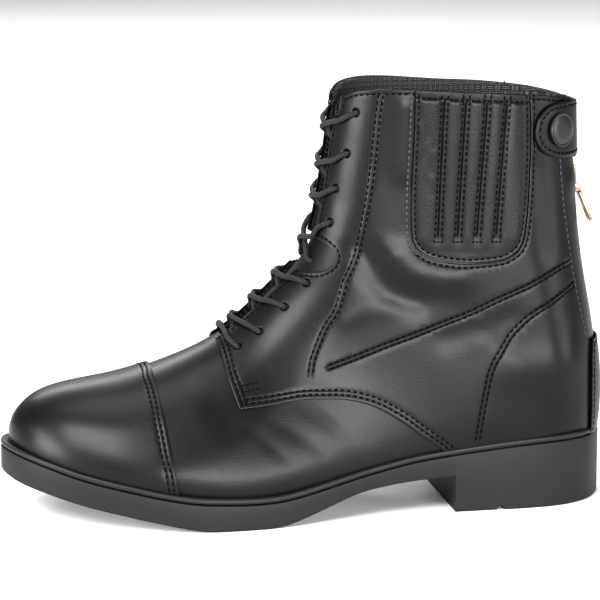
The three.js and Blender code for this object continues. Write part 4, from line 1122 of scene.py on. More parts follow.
tape_edges = []
for side in (-1, 1):
    tape_edges += zip_edge(side, ZIP_HALF + TAPE_UNDER, ZIP_LOW - TAPE_UNDER)
    tape_edges += [collar_edge(side)[-30:]]
tape_fill = net(21, 28, -1, 1, 1.6, 260)
tape_fill = tape_fill[np.abs(tape_fill[:, 1]) > 0.8]
tape = sheet("zip_tape_cloth", tape_fill, tape_edges, keep_tape, -0.6, 1.3)
seat(tape, "zip_tape", slot="zip_tape")

# %% [markdown]
# ## Stitches
# A sewn row is hundreds of short threads. One stitch is modelled as a slim lozenge and copied
# along every row, half sunk in its furrow. Drawing them as a picture would be flat and would
# blur close up.

# %% One stitch, copied along the rows
deselect()
bpy.ops.mesh.primitive_uv_sphere_add(segments=6, ring_count=5, radius=0.5)
stitch = bpy.context.object
stitch_points = np.array([v.co[:] for v in stitch.data.vertices])
stitch_faces = [tuple(f.vertices) for f in stitch.data.polygons]
bpy.data.objects.remove(stitch)


STITCH_WIDE, STITCH_HIGH, STITCH_SUNK = 0.95, 0.56, 0.06


def sew(name, entries):
    """Stitches along rows of (line, lift, pitch, length) with a rule for those that are kept."""
    points, faces, count = [], [], 0
    for line, lift, pitch, long, *rule in entries:
        if len(line) < 3:
            continue
        line = even(line, 0.25)
        run = run_along(place(line))
        spots = np.arange(pitch * 0.5, run[-1] - pitch * 0.3, pitch)
        tv, ahead = read_at(spots, run, line), read_at(spots + 0.4, run, line)
        centre, n = place(tv), facing(tv)
        if rule:
            kept = rule[0](centre, tv)
            tv, ahead, centre, n = tv[kept], ahead[kept], centre[kept], n[kept]
        if not len(tv):
            continue
        high = lift - STITCH_SUNK + crease_height(centre, tv)
        t = place(ahead) - centre
        t = unit(t - (t * n).sum(1)[:, None] * n)
        b = np.cross(n, t)
        for c, h, tt, bb, nn in zip(centre, high, t, b, n):
            q = stitch_points
            turned = q[:, 2:] * long * tt + q[:, 1:2] * STITCH_WIDE * bb
            points.append(c + nn * h + (turned + q[:, :1] * STITCH_HIGH * nn))
            faces += [tuple(i + count for i in f) for f in stitch_faces]
            count += len(q)
    obj = new_mesh(f"stitches_{name}", np.vstack(points), faces)
    smooth(obj, 60)
    print(obj.name, count // len(stitch_points), "stitches")
    return obj


stitch_pieces = []
for name, entries in stitch_rows.items():
    piece = sew(name, entries)
    seat(piece)
    stitch_pieces.append(piece)

# %% [markdown]
# ## Sole and heel
# The outsole is one rubber moulding with its heel. Its side view is a profile of heights: toe
# spring, ball, arch and heel seat. It starts as a circle primitive whose points take the sole's
# outline, and each further level is an extrusion of that ring, moved in or up. This is how a
# maker builds up a lasted sole, and it keeps the lip, the bevel and the breast crisp.

# %% Heights of the sole
PROFILE = np.array(
    [
        (0.0, 1.03, 0.6), (0.025, 0.99, 0.53), (0.066, 0.9, 0.45), (0.122, 0.765, 0.33),
        (0.196, 0.63, 0.2), (0.255, 0.53, 0.095), (0.3, 0.475, 0.022), (0.335, 0.455, 0.0),
        (0.375, 0.44, 0.0), (0.415, 0.44, 0.0), (0.445, 0.46, 0.03), (0.48, 0.51, 0.12),
        (0.52, 0.585, 0.24), (0.565, 0.67, 0.37), (0.61, 0.745, 0.435), (0.66, 0.82, 0.475),
        (0.72, 0.88, 0.5), (0.79, 0.94, 0.5), (0.85, 0.985, 0.5), (0.92, 1.005, 0.5),
        (1.0, 1.0, 0.5),
    ]
)
SEAT = 34.0
BREAST = (0.73 - 0.5) * LENGTH
GROOVE = (0.806 - 0.5) * LENGTH
WELT_THICK, WELT_WIDTH = 2.6, 10.0
fine_profile = blend_rows(PROFILE, np.linspace(0, 20, 401)) * (LENGTH, SEAT, SEAT)


def sole_top(x):
    return np.interp(x, fine_profile[:, 0] - LENGTH / 2, fine_profile[:, 1])


def sole_bottom(x):
    return np.maximum(np.interp(x, fine_profile[:, 0] - LENGTH / 2, fine_profile[:, 2]), 0)


def tread(x):
    """Underside: the forepart's curve, then the heel's flat foot with its groove."""
    z = np.where(x < BREAST, sole_bottom(x), 0.0)
    groove = 1.8 * np.clip((1.8 - np.abs(x - GROOVE)) / 0.9, 0, 1)
    return np.where(x < BREAST, z, groove)


stations = -LENGTH / 2 * np.cos(np.pi * np.arange(141) / 140)
special = [BREAST - 0.01, BREAST + 0.01] + [GROOVE + d for d in (-1.8, -0.9, 0.9, 1.8)]
stations = [x for x in stations if min(abs(x - s) for s in special) > 0.8]
stations = np.array(sorted(stations + special))


def sole_ring(inset, height):
    """Closed ring of the sole's plan, moved in by inset, at a height rule of x."""
    reach = LENGTH / 2 - inset
    x = np.clip(stations, -reach, reach)
    edge = sole_edge(x, inset)
    outer = np.stack([x, edge[:, 0], height(x)], 1)
    inner = np.stack([x, edge[:, 1], height(x)], 1)
    return np.concatenate([outer, inner[::-1]])


def stack(name, rings):
    """A body made from a circle primitive, with one extrusion for each further ring."""
    deselect()
    count = len(rings[0])
    bpy.ops.mesh.primitive_circle_add(vertices=count, radius=1)
    obj = bpy.context.object
    obj.name = obj.data.name = name
    bpy.ops.object.mode_set(mode="EDIT")
    bm = bmesh.from_edit_mesh(obj.data)
    bm.verts.ensure_lookup_table()
    # before each extrusion the ring is laid out along x, so that the new points can be told apart
    far_rows = np.stack([np.arange(count), np.zeros(count), np.zeros(count)], 1)
    current = list(bm.verts)
    for k, ring in enumerate(rings):
        if k:
            for v, q in zip(current, far_rows):
                v.co = q
            bpy.ops.mesh.extrude_edges_move()
            bm = bmesh.from_edit_mesh(obj.data)
            fresh = [v for v in bm.verts if v.select]
            order = np.argsort([v.co.x for v in fresh])
            old = [v for v in bm.verts if not v.select and k > 0][-count:]
            current = [fresh[i] for i in order]
            for v, q in zip(sorted(old, key=lambda v: v.co.x), to_frame(rings[k - 1])):
                v.co = q
        for v, q in zip(current, to_frame(ring)):
            v.co = q
    bmesh.update_edit_mesh(obj.data)
    bpy.ops.mesh.select_all(action="SELECT")
    bpy.ops.mesh.remove_doubles(threshold=0.000004)
    bpy.ops.mesh.normals_make_consistent(inside=False)
    bpy.ops.object.mode_set(mode="OBJECT")
    return obj


def under(drop):
    return lambda x: sole_top(x) - drop


body_levels = [(s, tread) for s in (48.6, 40, 30, 20, 12, 6, 2.4, 1.0)]
body_levels += [(0.35, lambda x: tread(x) + 0.22), (0.06, lambda x: tread(x) + 0.6)]
body_levels += [(0.0, lambda x: tread(x) + 1.1), (0.0, lambda x: (tread(x) + sole_top(x)) / 2)]
body_levels += [(0.0, under(3.7)), (0.12, under(3.3)), (0.6, under(3.05)), (1.4, under(2.95))]
body_levels += [(WELT_WIDTH + 0.6, under(2.95)), (WELT_WIDTH + 0.6, under(0))]
body_levels += [(30, under(0)), (48.6, under(0))]
outsole = stack("outsole_rubber", [sole_ring(s, rule) for s, rule in body_levels])
smooth(outsole, 32)
seat(outsole, "outsole", slot="outsole")
print("outsole faces", len(outsole.data.polygons))

# %% [markdown]
# ## Welt
# The welt is a separate strip round the upper, with a soft lip that stands over the sole's side.
# Its cross-section is carried round the outline in the same way, and its ring closes on itself.

# %% Welt
welt_levels = [  # inset from the sole's edge, and drop under its top
    (WELT_WIDTH, WELT_THICK), (1.3, WELT_THICK), (0.5, 2.48), (0.1, 2.1), (0, 1.6), (0, 1.0),
    (0.12, 0.5), (0.5, 0.14), (1.2, 0.0), (2.4, 0.02), (3.4, 0.3), (4.4, 0.32),
    (WELT_WIDTH, 0.0), (WELT_WIDTH, WELT_THICK),
]
welt = stack("welt_strip", [sole_ring(s, under(d)) for s, d in welt_levels])
smooth(welt, 50)
seat(welt, "welt", slot="welt")
print("welt faces", len(welt.data.polygons))

# %% [markdown]
# ## Laces
# One round lace crosses from side to side through the punched holes. Each strand is a ring
# carried along a smooth path: up out of its hole, over its own facing's edge, across the
# tongue and down under the far facing. The last pair of holes is joined by a straight bar.

# %% Laces
LACE_R = 1.3
eyelet_tv = {side: on_side(EYELETS, side) for side in (-1, 1)}


def crest_row(x, z):
    return row_at[np.argmin(np.hypot(top_line[:, 0] - x, top_line[:, 1] - z))]


crest_rows = [crest_row(x, z) for x, z in EYELETS]


def at_front(t, wide, lift):
    """Point a given width off the crest at row t, lifted off the last."""
    side = 1 if wide >= 0 else -1
    tv = off_middle([t], [abs(wide)], side)
    return (place(tv) + facing(tv) * lift)[0]


def path_through(points, step=0.8):
    """Even points on a round path through the given ones, without overshoot."""
    p = np.array(points)
    chord = np.concatenate([[0], np.cumsum(np.linalg.norm(np.diff(p, axis=0), axis=1) ** 0.5)])
    fine = []
    ends = np.vstack([2 * p[0] - p[1], p, 2 * p[-1] - p[-2]])
    knots = np.concatenate([[2 * chord[0] - chord[1]], chord, [2 * chord[-1] - chord[-2]]])
    for i in range(1, len(ends) - 2):
        t0, t1, t2, t3 = knots[i - 1 : i + 3]
        p0, p1, p2, p3 = ends[i - 1 : i + 3]
        for t in np.linspace(t1, t2, 24, endpoint=False):
            a = (t1 - t) / (t1 - t0) * p0 + (t - t0) / (t1 - t0) * p1
            b = (t2 - t) / (t2 - t1) * p1 + (t - t1) / (t2 - t1) * p2
            c = (t3 - t) / (t3 - t2) * p2 + (t - t2) / (t3 - t2) * p3
            d = (t2 - t) / (t2 - t0) * a + (t - t0) / (t2 - t0) * b
            e = (t3 - t) / (t3 - t1) * b + (t - t1) / (t3 - t1) * c
            fine.append((t2 - t) / (t2 - t1) * d + (t - t1) / (t2 - t1) * e)
    fine = np.array(fine + [p[-1]])
    run = run_along(fine)
    want = np.linspace(0, run[-1], max(3, int(run[-1] / step)))
    return read_at(want, run, fine), want


def lace(name, points, sides_round=12):
    """Round cord along a path, with its length and turn kept as a UV map for the braid."""
    path, run = path_through(points)
    ahead = unit(np.gradient(path, axis=0))
    u = np.cross(ahead[0], (0.3, 0.2, 1.0))
    rings = []
    radii = np.full(len(path), LACE_R)
    radii[0] = radii[-1] = 0.2
    for centre, t, r in zip(path, ahead, radii):
        u = u - (u @ t) * t
        u /= np.linalg.norm(u)
        w = np.cross(t, u)
        a = 2 * np.pi * np.arange(sides_round)[:, None] / sides_round
        rings.append(centre + (np.cos(a) * u + np.sin(a) * w) * r)
    points = np.vstack(rings)
    faces, uvs = [], []
    for k in range(len(rings) - 1):
        for j in range(sides_round):
            a, b = k * sides_round + j, k * sides_round + (j + 1) % sides_round
            faces.append((a, b, b + sides_round, a + sides_round))
            uvs += [(run[k], j), (run[k], j + 1), (run[k + 1], j + 1), (run[k + 1], j)]
    faces += [tuple(range(sides_round))[::-1], tuple(range(len(points) - sides_round, len(points)))]
    uvs += [(0, 0)] * (2 * sides_round)
    obj = new_mesh(name, points, faces)
    layer = obj.data.uv_layers.new(name="cord")
    for item, (s, j) in zip(layer.data, uvs):
        item.uv = (s / 10, j / sides_round)
    smooth(obj, 60)
    return obj


def hole_point(n, side, lift):
    tv = eyelet_tv[side][n]
    return place(tv) + facing(tv) * lift


lace_pieces = []
for n in range(len(EYELETS) - 1):
    for name, side in sides:
        middle = (crest_rows[n] + crest_rows[n + 1]) / 2
        wide = abs(place(eyelet_tv[side][n])[1])
        end_row = middle + (crest_rows[n + 1] - middle) * 0.45
        gap = np.interp(end_row, THROAT[:, 0], THROAT[:, 1])
        # the outer strand crosses on top, and the inner one passes under it
        high, low = (2.9, 0.6) if side < 0 else (0.3, 0.2)
        start = [hole_point(n, side, -2.3), hole_point(n, side, 0.4)]
        toward = at_front(crest_rows[n] + (middle - crest_rows[n]) * 0.3, side * wide * 0.72, 2.95)
        lifted = hole_point(n, side, 2.3) * 0.62 + toward * 0.38
        edge_gap = np.interp(middle, THROAT[:, 0], THROAT[:, 1])
        points = start + [
            lifted,
            toward,
            at_front(crest_rows[n] + (middle - crest_rows[n]) * 0.62, side * (edge_gap + 0.6), 3.0),
            at_front(middle, side * 0.1, high + 0.6),
            at_front(middle + (end_row - middle) * 0.5, -side * (gap - 4.2), low),
            at_front(end_row, -side * (gap - 0.6), -1.2),
            at_front(end_row + 0.1, -side * (gap + 3.0), -2.3),
        ]
        piece = lace(f"lace_strand_{n + 1}_{name}", points)
        lace_pieces.append(piece)
        if side < 0:
            seat(piece, f"lace_crossing_{n + 1}", slot="lace")
        else:
            seat(piece, slot="lace")
low_row = crest_rows[-1]
bar = [hole_point(-1, -1, -2.3), hole_point(-1, -1, 0.5)]
bar += [at_front(low_row, y, 3.0) for y in (-15.0, -9.0, 0.0, 9.0, 15.0)]
bar += [hole_point(-1, 1, 0.5), hole_point(-1, 1, -2.3)]
piece = lace("lace_bottom_bar", bar)
lace_pieces.append(piece)
seat(piece, "lace_bar", slot="lace")
print(len(lace_pieces), "lace pieces")

# %% [markdown]
# ## Snap, zip slider and pull
# The metal parts start as primitives at their real size, get their rims and edges by inset,
# extrude and bevel, and are then turned into their place on the boot.


# %% Snap cap
def settle(obj, matrix):
    """Puts a piece made at the origin, in millimetres, into its place within its mesh."""
    obj.data.transform(matrix)
    scale = Matrix.Diagonal((0.001, 0.001, 0.001, 1)) @ Matrix.Translation(Vector(shift))
    obj.data.transform(scale)
    obj.matrix_world = Matrix.Identity(4)


def frame_at(centre, x_axis, z_axis):
    z = Vector(z_axis).normalized()
    x = (Vector(x_axis) - z * Vector(x_axis).dot(z)).normalized()
    y = z.cross(x)
    turn = Matrix((x, y, z)).transposed().to_4x4()
    return Matrix.Translation(Vector(centre)) @ turn


def bevel_edges(obj, width, segments=3, angle=30):
    limit = math.radians(angle)
    apply_modifier(
        obj, "BEVEL", width=width, segments=segments, limit_method="ANGLE", angle_limit=limit
    )


def rod(vertices, radius, depth, axis=(math.pi / 2, 0, 0), location=(0, 0, 0)):
    """A cylinder with its place in its mesh."""
    bpy.ops.mesh.primitive_cylinder_add(
        vertices=vertices, radius=radius, depth=depth, rotation=axis, location=location
    )
    bpy.ops.object.transform_apply()
    return bpy.context.object


def block(name, size, location=(0, 0, 0)):
    """A cube stretched to its size, with its place in its mesh."""
    deselect()
    bpy.ops.mesh.primitive_cube_add(size=1)
    obj = bpy.context.object
    obj.name = obj.data.name = name
    obj.scale, obj.location = size, location
    bpy.ops.object.transform_apply()
    return obj


def pick_top(obj, bm):
    for f in bm.faces:
        f.select = f.normal.z > 0.9
    bmesh.update_edit_mesh(obj.data)


SNAP_RADIUS, SNAP_THICK = 8.0, 1.5
SNAP_X, SNAP_Z = (0.8993 - 0.5) * LENGTH, 0.896 * HEIGHT
deselect()
snap = rod(64, SNAP_RADIUS, SNAP_THICK, (0, 0, 0), (0, 0, SNAP_THICK / 2))
snap.name = snap.data.name = "snap_cap_disc"
with editing(snap) as bm:
    pick_top(snap, bm)
    bpy.ops.mesh.inset(thickness=0.9)
    for inset, rise in ((0.35, -0.3), (0.5, 0.18), (3.0, 0.16)):
        bpy.ops.mesh.inset(thickness=inset)
        bpy.ops.transform.translate(value=(0, 0, rise))
bevel_edges(snap, 0.3)
snap_tv = on_side([(SNAP_X, SNAP_Z)], -1)[0]
snap_n = facing(snap_tv)
settle(snap, frame_at(place(snap_tv) + snap_n * 3.5, (1, 0, 0), snap_n))
smooth(snap, 35)
seat(snap, "snap_cap", slot="snap_cap")
print("snap cap faces", len(snap.data.polygons))

# %% [markdown]
# ## Zip teeth
# The zip runs up the back seam. One bevelled tooth is copied along it, left and right in turn,
# and each copy takes its height and its tilt from the last's surface.

# %% Zip teeth
hinge = np.array(frame["joints"][0]["pos_m"]) * 1000 - shift
up = np.array([-0.0902, 0, 0.9959])
out = np.array([0.9959, 0, 0.0902])
seat_point = hinge - out * 2.2 + up * 5.04
TOOTH, TOOTH_PITCH, TOOTH_OFF = (0.9, 2.5, 1.25), 1.55, 0.55

tooth = block("tooth", TOOTH)
bevel_edges(tooth, 0.22, 1)
tooth_points = np.array([v.co[:] for v in tooth.data.vertices])
tooth_faces = [tuple(f.vertices) for f in tooth.data.polygons]
bpy.data.objects.remove(tooth)
points, faces, count = [], [], 0
for k, z in enumerate(np.arange(ZIP_LOW + 4, 194, TOOTH_PITCH)):
    tv = meet(lambda x, y, zz, z=z: zz - z, [0.999], 21, 28)
    if not len(tv):
        continue
    c, n = place(tv)[0], facing(tv)[0]
    n = np.array([n[0], 0, n[2]]) / np.hypot(n[0], n[2])
    if c[2] > collar_height(c[0]) - 1:
        continue
    c[1] = TOOTH_OFF if k % 2 else -TOOTH_OFF
    t = np.cross((0, 1, 0), n)
    q = tooth_points
    points.append(c - n * 0.15 + q[:, :1] * n + q[:, 1:2] * np.array([0, 1, 0]) + q[:, 2:] * t)
    faces += [tuple(i + count for i in f) for f in tooth_faces]
    count += len(q)
teeth = new_mesh("zip_teeth", np.vstack(points), faces)
smooth(teeth, 30)
seat(teeth, slot="zip_metal")
print(count // len(tooth_points), "teeth")

# %% [markdown]
# ## Zip slider
# The slider is a tapered block that lies on the teeth. Two cheeks hold the pin that carries the
# pull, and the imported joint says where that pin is.

# %% Zip slider
slider = block("zip_slider_body", (1.6, 7.4, 9.0))
with editing(slider) as bm:
    for v in bm.verts:
        if v.co.z < 0:
            v.co.y *= 0.74
bevel_edges(slider, 0.5, 3)
settle(slider, frame_at(seat_point + out * 0.8 + up * 1.5, out, up))
cheeks = []
for y in (-3.2, 3.2):
    ear = rod(32, 1.0, 1.0)
    with editing(ear) as bm:
        for v in bm.verts:
            if v.co.x < 0:
                v.co.x -= 2.0
                v.co.z = v.co.z * 2.2 + 1.2
    bevel_edges(ear, 0.2, 2, 50)
    settle(ear, frame_at(hinge + np.array([0, y, 0]), out, up))
    cheeks.append(ear)
pin = rod(24, 0.6, 7.0)
settle(pin, frame_at(hinge, out, up))
deselect()
for piece in cheeks + [pin, slider]:
    piece.select_set(True)
bpy.context.view_layer.objects.active = slider
bpy.ops.object.join()
smooth(slider, 35)
seat(slider, "zip_slider", slot="zip_metal")
print("zip slider faces", len(slider.data.polygons))

# %% [markdown]
# ## Zip pull
# The pull is a flat bar that hangs from its eye. It is made round the origin as its hinge, with
# a bore for the pin and a long slot at its low end, and rides on its own body, so that it swings.

# %% Zip pull
LEAN = math.radians(23)
PULL_WIDE, EYE_WIDE = 5.9, 4.0
down = np.array([math.sin(LEAN), 0, -math.cos(LEAN)])
face = np.array([math.cos(LEAN), 0, math.sin(LEAN)])
pull = block("zip_pull_tab", (1.7, PULL_WIDE, 14.6), (0, 0, -10.1))
with editing(pull) as bm:
    bm.select_mode = {"FACE"}
    pick_top(pull, bm)
    bpy.ops.mesh.extrude_region_move(TRANSFORM_OT_translate={"value": (0, 0, 1.4)})
    bm = bmesh.from_edit_mesh(pull.data)
    for v in bm.verts:
        if v.select:
            v.co.y *= EYE_WIDE / PULL_WIDE
            v.co.x *= 1.3
bevel_edges(pull, 0.55, 3, 50)


def shape_with(tool, operation):
    apply_modifier(pull, "BOOLEAN", operation=operation, object=tool, solver="EXACT")
    bpy.data.objects.remove(tool)


shape_with(rod(32, 1.82, EYE_WIDE), "UNION")
shape_with(rod(32, 0.95, 8.0), "DIFFERENCE")
SLOT_Z, SLOT_REACH = -13.3, 1.6
slot = rod(32, 1.1, 8.0, (0, math.pi / 2, 0), (0, 0, SLOT_Z))
with editing(slot) as bm:
    for v in bm.verts:
        v.co.z += SLOT_REACH if v.co.z > SLOT_Z else -SLOT_REACH
shape_with(slot, "DIFFERENCE")
settle(pull, frame_at(hinge, face, -down))
smooth(pull, 35)
seat(pull, "zip_pull", slot="zip_metal", body="pull")
print("zip pull faces", len(pull.data.polygons))

# %% [markdown]
# ## Finishes
# Shader sums are written as plain expressions: a small class wraps a socket, and each operator
# adds its Math node. Constants go straight on the shader's own sockets.


# %% Shader helper
class Value:
    """A number that varies over a surface."""

    def __init__(self, finish, socket):
        self.finish, self.socket = finish, socket

    def math(self, operation, other=None, flip=False):
        terms = [other, self] if flip else [self, other]
        node = self.finish.tree.nodes.new("ShaderNodeMath")
        node.operation = operation
        for k, term in enumerate(terms):
            if isinstance(term, Value):
                self.finish.tree.links.new(term.socket, node.inputs[k])
            elif term is not None:
                node.inputs[k].default_value = term
        return Value(self.finish, node.outputs[0])

    def __add__(self, other):
        return self.math("ADD", other)

    __radd__ = __add__

    def __sub__(self, other):
        return self.math("SUBTRACT", other)

    def __rsub__(self, other):
        return self.math("SUBTRACT", other, True)

    def __mul__(self, other):
        return self.math("MULTIPLY", other)

    __rmul__ = __mul__

    def __pow__(self, other):
        return self.math("POWER", other)

    def sine(self):
        return self.math("SINE")

    def size(self):
        return self.math("ABSOLUTE")


class Finish:
    """A material with its Principled shader and a way to add other nodes."""

    def __init__(self, name, colour, roughness, metal=0.0, coat=0.0, coat_rough=0.3, specular=0.5):
        self.material = bpy.data.materials.new(name)
        self.material.use_nodes = True
        self.tree = self.material.node_tree
        self.shader = self.tree.nodes["Principled BSDF"]
        self.material.diffuse_color = (*colour, 1)
        settings = {
            "Base Color": (*colour, 1),
            "Roughness": roughness,
            "Metallic": metal,
            "Coat Weight": coat,
            "Coat Roughness": coat_rough,
            "Specular IOR Level": specular,
        }
        for key, value in settings.items():
            self.shader.inputs[key].default_value = value

    def add(self, kind, settings=None, output=0, **sockets):
        node = self.tree.nodes.new(kind)
        for key, value in (settings or {}).items():
            setattr(node, key, value)
        for key, value in sockets.items():
            socket = node.inputs[key.replace("_", " ")]
            if isinstance(value, Value):
                self.tree.links.new(value.socket, socket)
            else:
                socket.default_value = value
        return Value(self, node.outputs[output])

    def place(self):
        return self.add("ShaderNodeTexCoord", output="Object")

    def noise(self, scale, detail=3.0, vector=None):
        vector = vector or self.place()
        return self.add("ShaderNodeTexNoise", Vector=vector, Scale=scale, Detail=detail)

    def link(self, name, value):
        self.tree.links.new(value.socket, self.shader.inputs[name])

    def bump(self, height, distance, strength=1.0):
        node = self.add("ShaderNodeBump", Height=height, Distance=distance, Strength=strength)
        self.link("Normal", node)

    def tint(self, mask, dark, light):
        node = self.tree.nodes.new("ShaderNodeMix")
        node.data_type = "RGBA"
        node.inputs["A"].default_value = (*dark, 1)
        node.inputs["B"].default_value = (*light, 1)
        self.tree.links.new(mask.socket, node.inputs["Factor"])
        self.link("Base Color", Value(self, node.outputs["Result"]))


# %% [markdown]
# ## Leather, rubber, cord, cloth and metal
# Black leather gets its look from gloss, not colour: a fine grain in the bump, small changes of
# roughness, and a thin coat. The lining is a basket weave made of two crossed waves.


# %% Materials
def leather(name, roughness=0.35, colour=(0.0025, 0.0025, 0.0027), grain=1.0):
    f = Finish(name, colour, roughness, coat=0.02, coat_rough=0.2, specular=0.19)
    spot = f.place()
    cells = {"feature": "SMOOTH_F1"}
    pores = f.add("ShaderNodeTexVoronoi", cells, output="Distance", Vector=spot, Scale=1150.0)
    fine = f.noise(2300.0, 2.0, spot)
    broad = f.noise(75.0, 3.0, spot)
    f.bump(pores * 0.6 + fine * 0.45 + broad * 0.25, 0.00005 * grain)
    f.link("Roughness", roughness - 0.07 + broad * 0.1 + fine * 0.05)
    return f.material


def weave(name, colour, light, scale):
    """Basket weave: blocks of threads that run up and across in turn."""
    f = Finish(name, colour, 0.85, specular=0.25)
    parts = f.tree.nodes.new("ShaderNodeSeparateXYZ")
    f.tree.links.new(f.place().socket, parts.inputs[0])
    x, y, z = (Value(f, parts.outputs[k]) for k in range(3))
    a = ((x + y) * scale).sine()
    b = (z * scale).sine()
    fine_a = ((x + y) * scale * 5.0).sine() * 0.5 + 0.5
    fine_b = (z * scale * 5.0).sine() * 0.5 + 0.5
    check = (a * b).math("GREATER_THAN", 0.0)
    height = check * fine_a + (1 - check) * fine_b
    rounding = (a.size() * b.size()) ** 0.4
    f.bump(height * rounding, 0.0004)
    f.tint(height * rounding, colour, light)
    return f.material


def braid():
    f = Finish("lace_braid", (0.006, 0.006, 0.0065), 0.6, specular=0.25)
    uv = f.add("ShaderNodeUVMap", {"uv_map": "cord"})
    parts = f.tree.nodes.new("ShaderNodeSeparateXYZ")
    f.tree.links.new(uv.socket, parts.inputs[0])
    s, turn = (Value(f, parts.outputs[k]) for k in range(2))
    left = ((s * 6.0 + turn * 4.0) * 6.28318).sine()
    right = ((s * 6.0 - turn * 4.0) * 6.28318).sine()
    height = left.math("MAXIMUM", right)
    f.bump(height, 0.00022)
    f.tint(height * 0.5 + 0.5, (0.003, 0.003, 0.0033), (0.014, 0.014, 0.015))
    return f.material


def rubber(name, colour, roughness):
    f = Finish(name, colour, roughness, specular=0.24)
    fine = f.noise(1600.0, 2.0)
    broad = f.noise(40.0, 4.0)
    f.bump(fine, 0.00005)
    f.link("Roughness", roughness - 0.08 + broad * 0.16)
    return f.material


smooth_leather = leather("smooth_black_leather")
soft_leather = leather("soft_panel_leather", 0.36, (0.0025, 0.0025, 0.0027), 2.0)
trim_leather = leather("trim_leather", 0.4)
tongue_skin = leather("tongue_leather_finish", 0.42, (0.004, 0.004, 0.0043), 1.2)
lining = weave("woven_lining", (0.006, 0.006, 0.007), (0.07, 0.07, 0.074), 1300.0)
tape_cloth = weave("zip_tape_weave", (0.006, 0.006, 0.006), (0.02, 0.02, 0.021), 2600.0)
thread = Finish("waxed_thread", (0.001, 0.001, 0.001), 0.75, specular=0.06).material
# painted glint: this thread's paler colour stands in for light catching its stitches
worn_thread = Finish("worn_thread", (0.02, 0.02, 0.021), 0.45, specular=0.4).material
lace_cord = braid()
sole_rubber = rubber("sole_rubber", (0.007, 0.007, 0.0075), 0.55)
welt_rubber = rubber("welt_rubber", (0.009, 0.009, 0.0095), 0.42)
snap_paint = Finish("snap_paint", (0.006, 0.006, 0.0065), 0.34, coat=0.1, specular=0.4).material
brass = Finish("pale_brass", (0.24, 0.195, 0.13), 0.36, metal=1.0).material


def dress(obj, *materials):
    obj.data.materials.clear()
    for material in materials:
        obj.data.materials.append(material)


def line_inside(obj, inner):
    """Gives the faces that look to the inside of the shaft and foot their own material."""
    mesh = obj.data
    mesh.materials.append(inner)
    count = len(mesh.polygons)
    centres = np.empty(count * 3)
    mesh.polygons.foreach_get("center", centres)
    normals = np.empty(count * 3)
    mesh.polygons.foreach_get("normal", normals)
    centres = centres.reshape(-1, 3) * 1000 - shift
    normals = normals.reshape(-1, 3)
    # faces that look towards a core line, in the foot and up the shaft, are the lined ones
    core = np.stack([centres[:, 0] * 0.96 + 2, np.full(count, 1.0), np.full(count, 36.0)], 1)
    shaft = centres[:, 2] > 75
    core[shaft] = (68.0, 0.0, 0.0)
    core[shaft, 2] = centres[shaft, 2]
    lined = ((core - centres) * normals).sum(1) > 0
    mesh.polygons.foreach_set("material_index", lined.astype(np.int32))
    mesh.update()
    return int(lined.sum())


dress(upper, smooth_leather)
print("lining faces", line_inside(upper, lining))
dress(cap, smooth_leather)
for name, _ in sides:
    dress(quarters[name], smooth_leather)
    dress(bpy.data.objects[f"stretch_panel_{name}_leather"], soft_leather)
dress(stay, trim_leather)
dress(tab, trim_leather)
dress(tongue, tongue_skin)
dress(tape, tape_cloth)
for piece in stitch_pieces:
    # the rows with a painted glint get the paler thread
    dress(piece, worn_thread if "worn" in piece.name else thread)
for piece in lace_pieces:
    dress(piece, lace_cord)
dress(outsole, sole_rubber)
dress(welt, welt_rubber)
dress(snap, snap_paint)
for piece in (slider, pull, teeth):
    dress(piece, brass)
insole = frame["nodes"]["insole"]
insole.data.materials.clear()
insole.data.materials.append(tape_cloth)

# %% [markdown]
# ## Floor and light
# A plain pale floor runs past the picture's edges. Gloss black leather shows its lamps more than
# its own colour, so low strips of light stand in front and at both sides, where the upright
# walls of the boot reflect them. A square lamp stands higher for the toe, one behind gives the
# top edges their line, one overhead greys the top of the toes, and a wide pale ceiling fills
# the shadows.

# %% Stage
deselect()
bpy.ops.mesh.primitive_plane_add(size=24, location=(0, 0, 0))
floor = bpy.context.object
floor.name = "floor"
dress(floor, Finish("pale_floor", (0.84, 0.84, 0.84), 0.9, specular=0.1).material)

world = bpy.data.worlds.new("pale_sky")
bpy.context.scene.world = world
bpy.context.scene.view_settings.view_transform = "Standard"
bpy.context.scene.view_settings.look = "Medium High Contrast"
world.use_nodes = True
world.node_tree.nodes["Background"].inputs["Color"].default_value = (1, 1, 1, 1)
world.node_tree.nodes["Background"].inputs["Strength"].default_value = 0.26


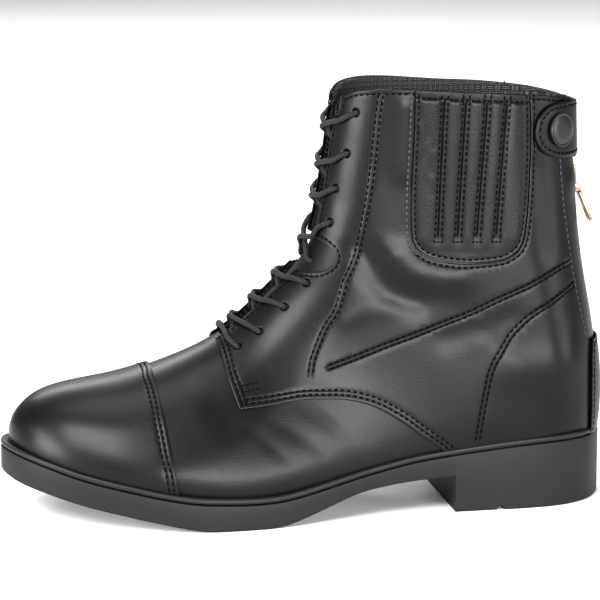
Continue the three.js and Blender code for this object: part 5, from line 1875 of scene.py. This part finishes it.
def softbox(name, location, target, size, power):
    light = bpy.data.lights.new(name, "AREA")
    light.shape = "RECTANGLE"
    light.size, light.size_y = size
    light.energy = power
    obj = bpy.data.objects.new(name, light)
    bpy.context.scene.collection.objects.link(obj)
    obj.location = location
    obj.rotation_euler = (Vector(target) - Vector(location)).to_track_quat("-Z", "Y").to_euler()


# name, place, aim, width and height in metres, watts
softbox("front_light", (0.35, -1.9, 0.4), (0, 0, 0.1), (1.5, 0.42), 54)
softbox("left_light", (-1.7, -0.5, 0.36), (0, 0, 0.12), (0.9, 0.6), 36)
softbox("right_light", (1.5, -0.8, 0.36), (0.05, 0, 0.1), (0.6, 0.6), 10)
softbox("key_light", (-1.15, -1.25, 1.35), (0, 0, 0.1), (0.9, 0.7), 52)
softbox("back_light", (-0.2, 2.4, 1.35), (0, 0, 0.1), (1.8, 0.5), 21)
softbox("overhead_light", (-0.15, 0.2, 2.0), (0, 0, 0), (1.7, 1.2), 26)
softbox("top_light", (0, 0.6, 3.4), (0, 0.6, 0), (8.0, 8.0), 75)
print(len(bpy.data.lights), "lamps")

# %% [markdown]
# ## Camera
# The camera has the photograph's angle, distance and lens, found by fitting known points of the
# boot to the picture.

# %% Camera
AZIMUTH, ELEVATION, DISTANCE = math.radians(-9.98847), math.radians(10.81658), 1278.98980
FOCAL_PIXELS, PIXELS = 2727.12352, 600
aim = np.array([-2.27066, 0.0, 96.93999])
behind = np.array(
    [
        math.sin(AZIMUTH) * math.cos(ELEVATION),
        -math.cos(AZIMUTH) * math.cos(ELEVATION),
        math.sin(ELEVATION),
    ]
)
camera = bpy.data.objects.new("camera", bpy.data.cameras.new("camera"))
bpy.context.scene.collection.objects.link(camera)
camera.data.sensor_width = 36
camera.data.lens = 36 * FOCAL_PIXELS / PIXELS
camera.data.clip_start, camera.data.clip_end = 0.05, 50
camera.location = Vector(to_frame(aim + behind * DISTANCE))
camera.rotation_euler = Vector(-behind).to_track_quat("-Z", "Y").to_euler()
bpy.context.scene.camera = camera
print("lens in mm", round(camera.data.lens, 1))
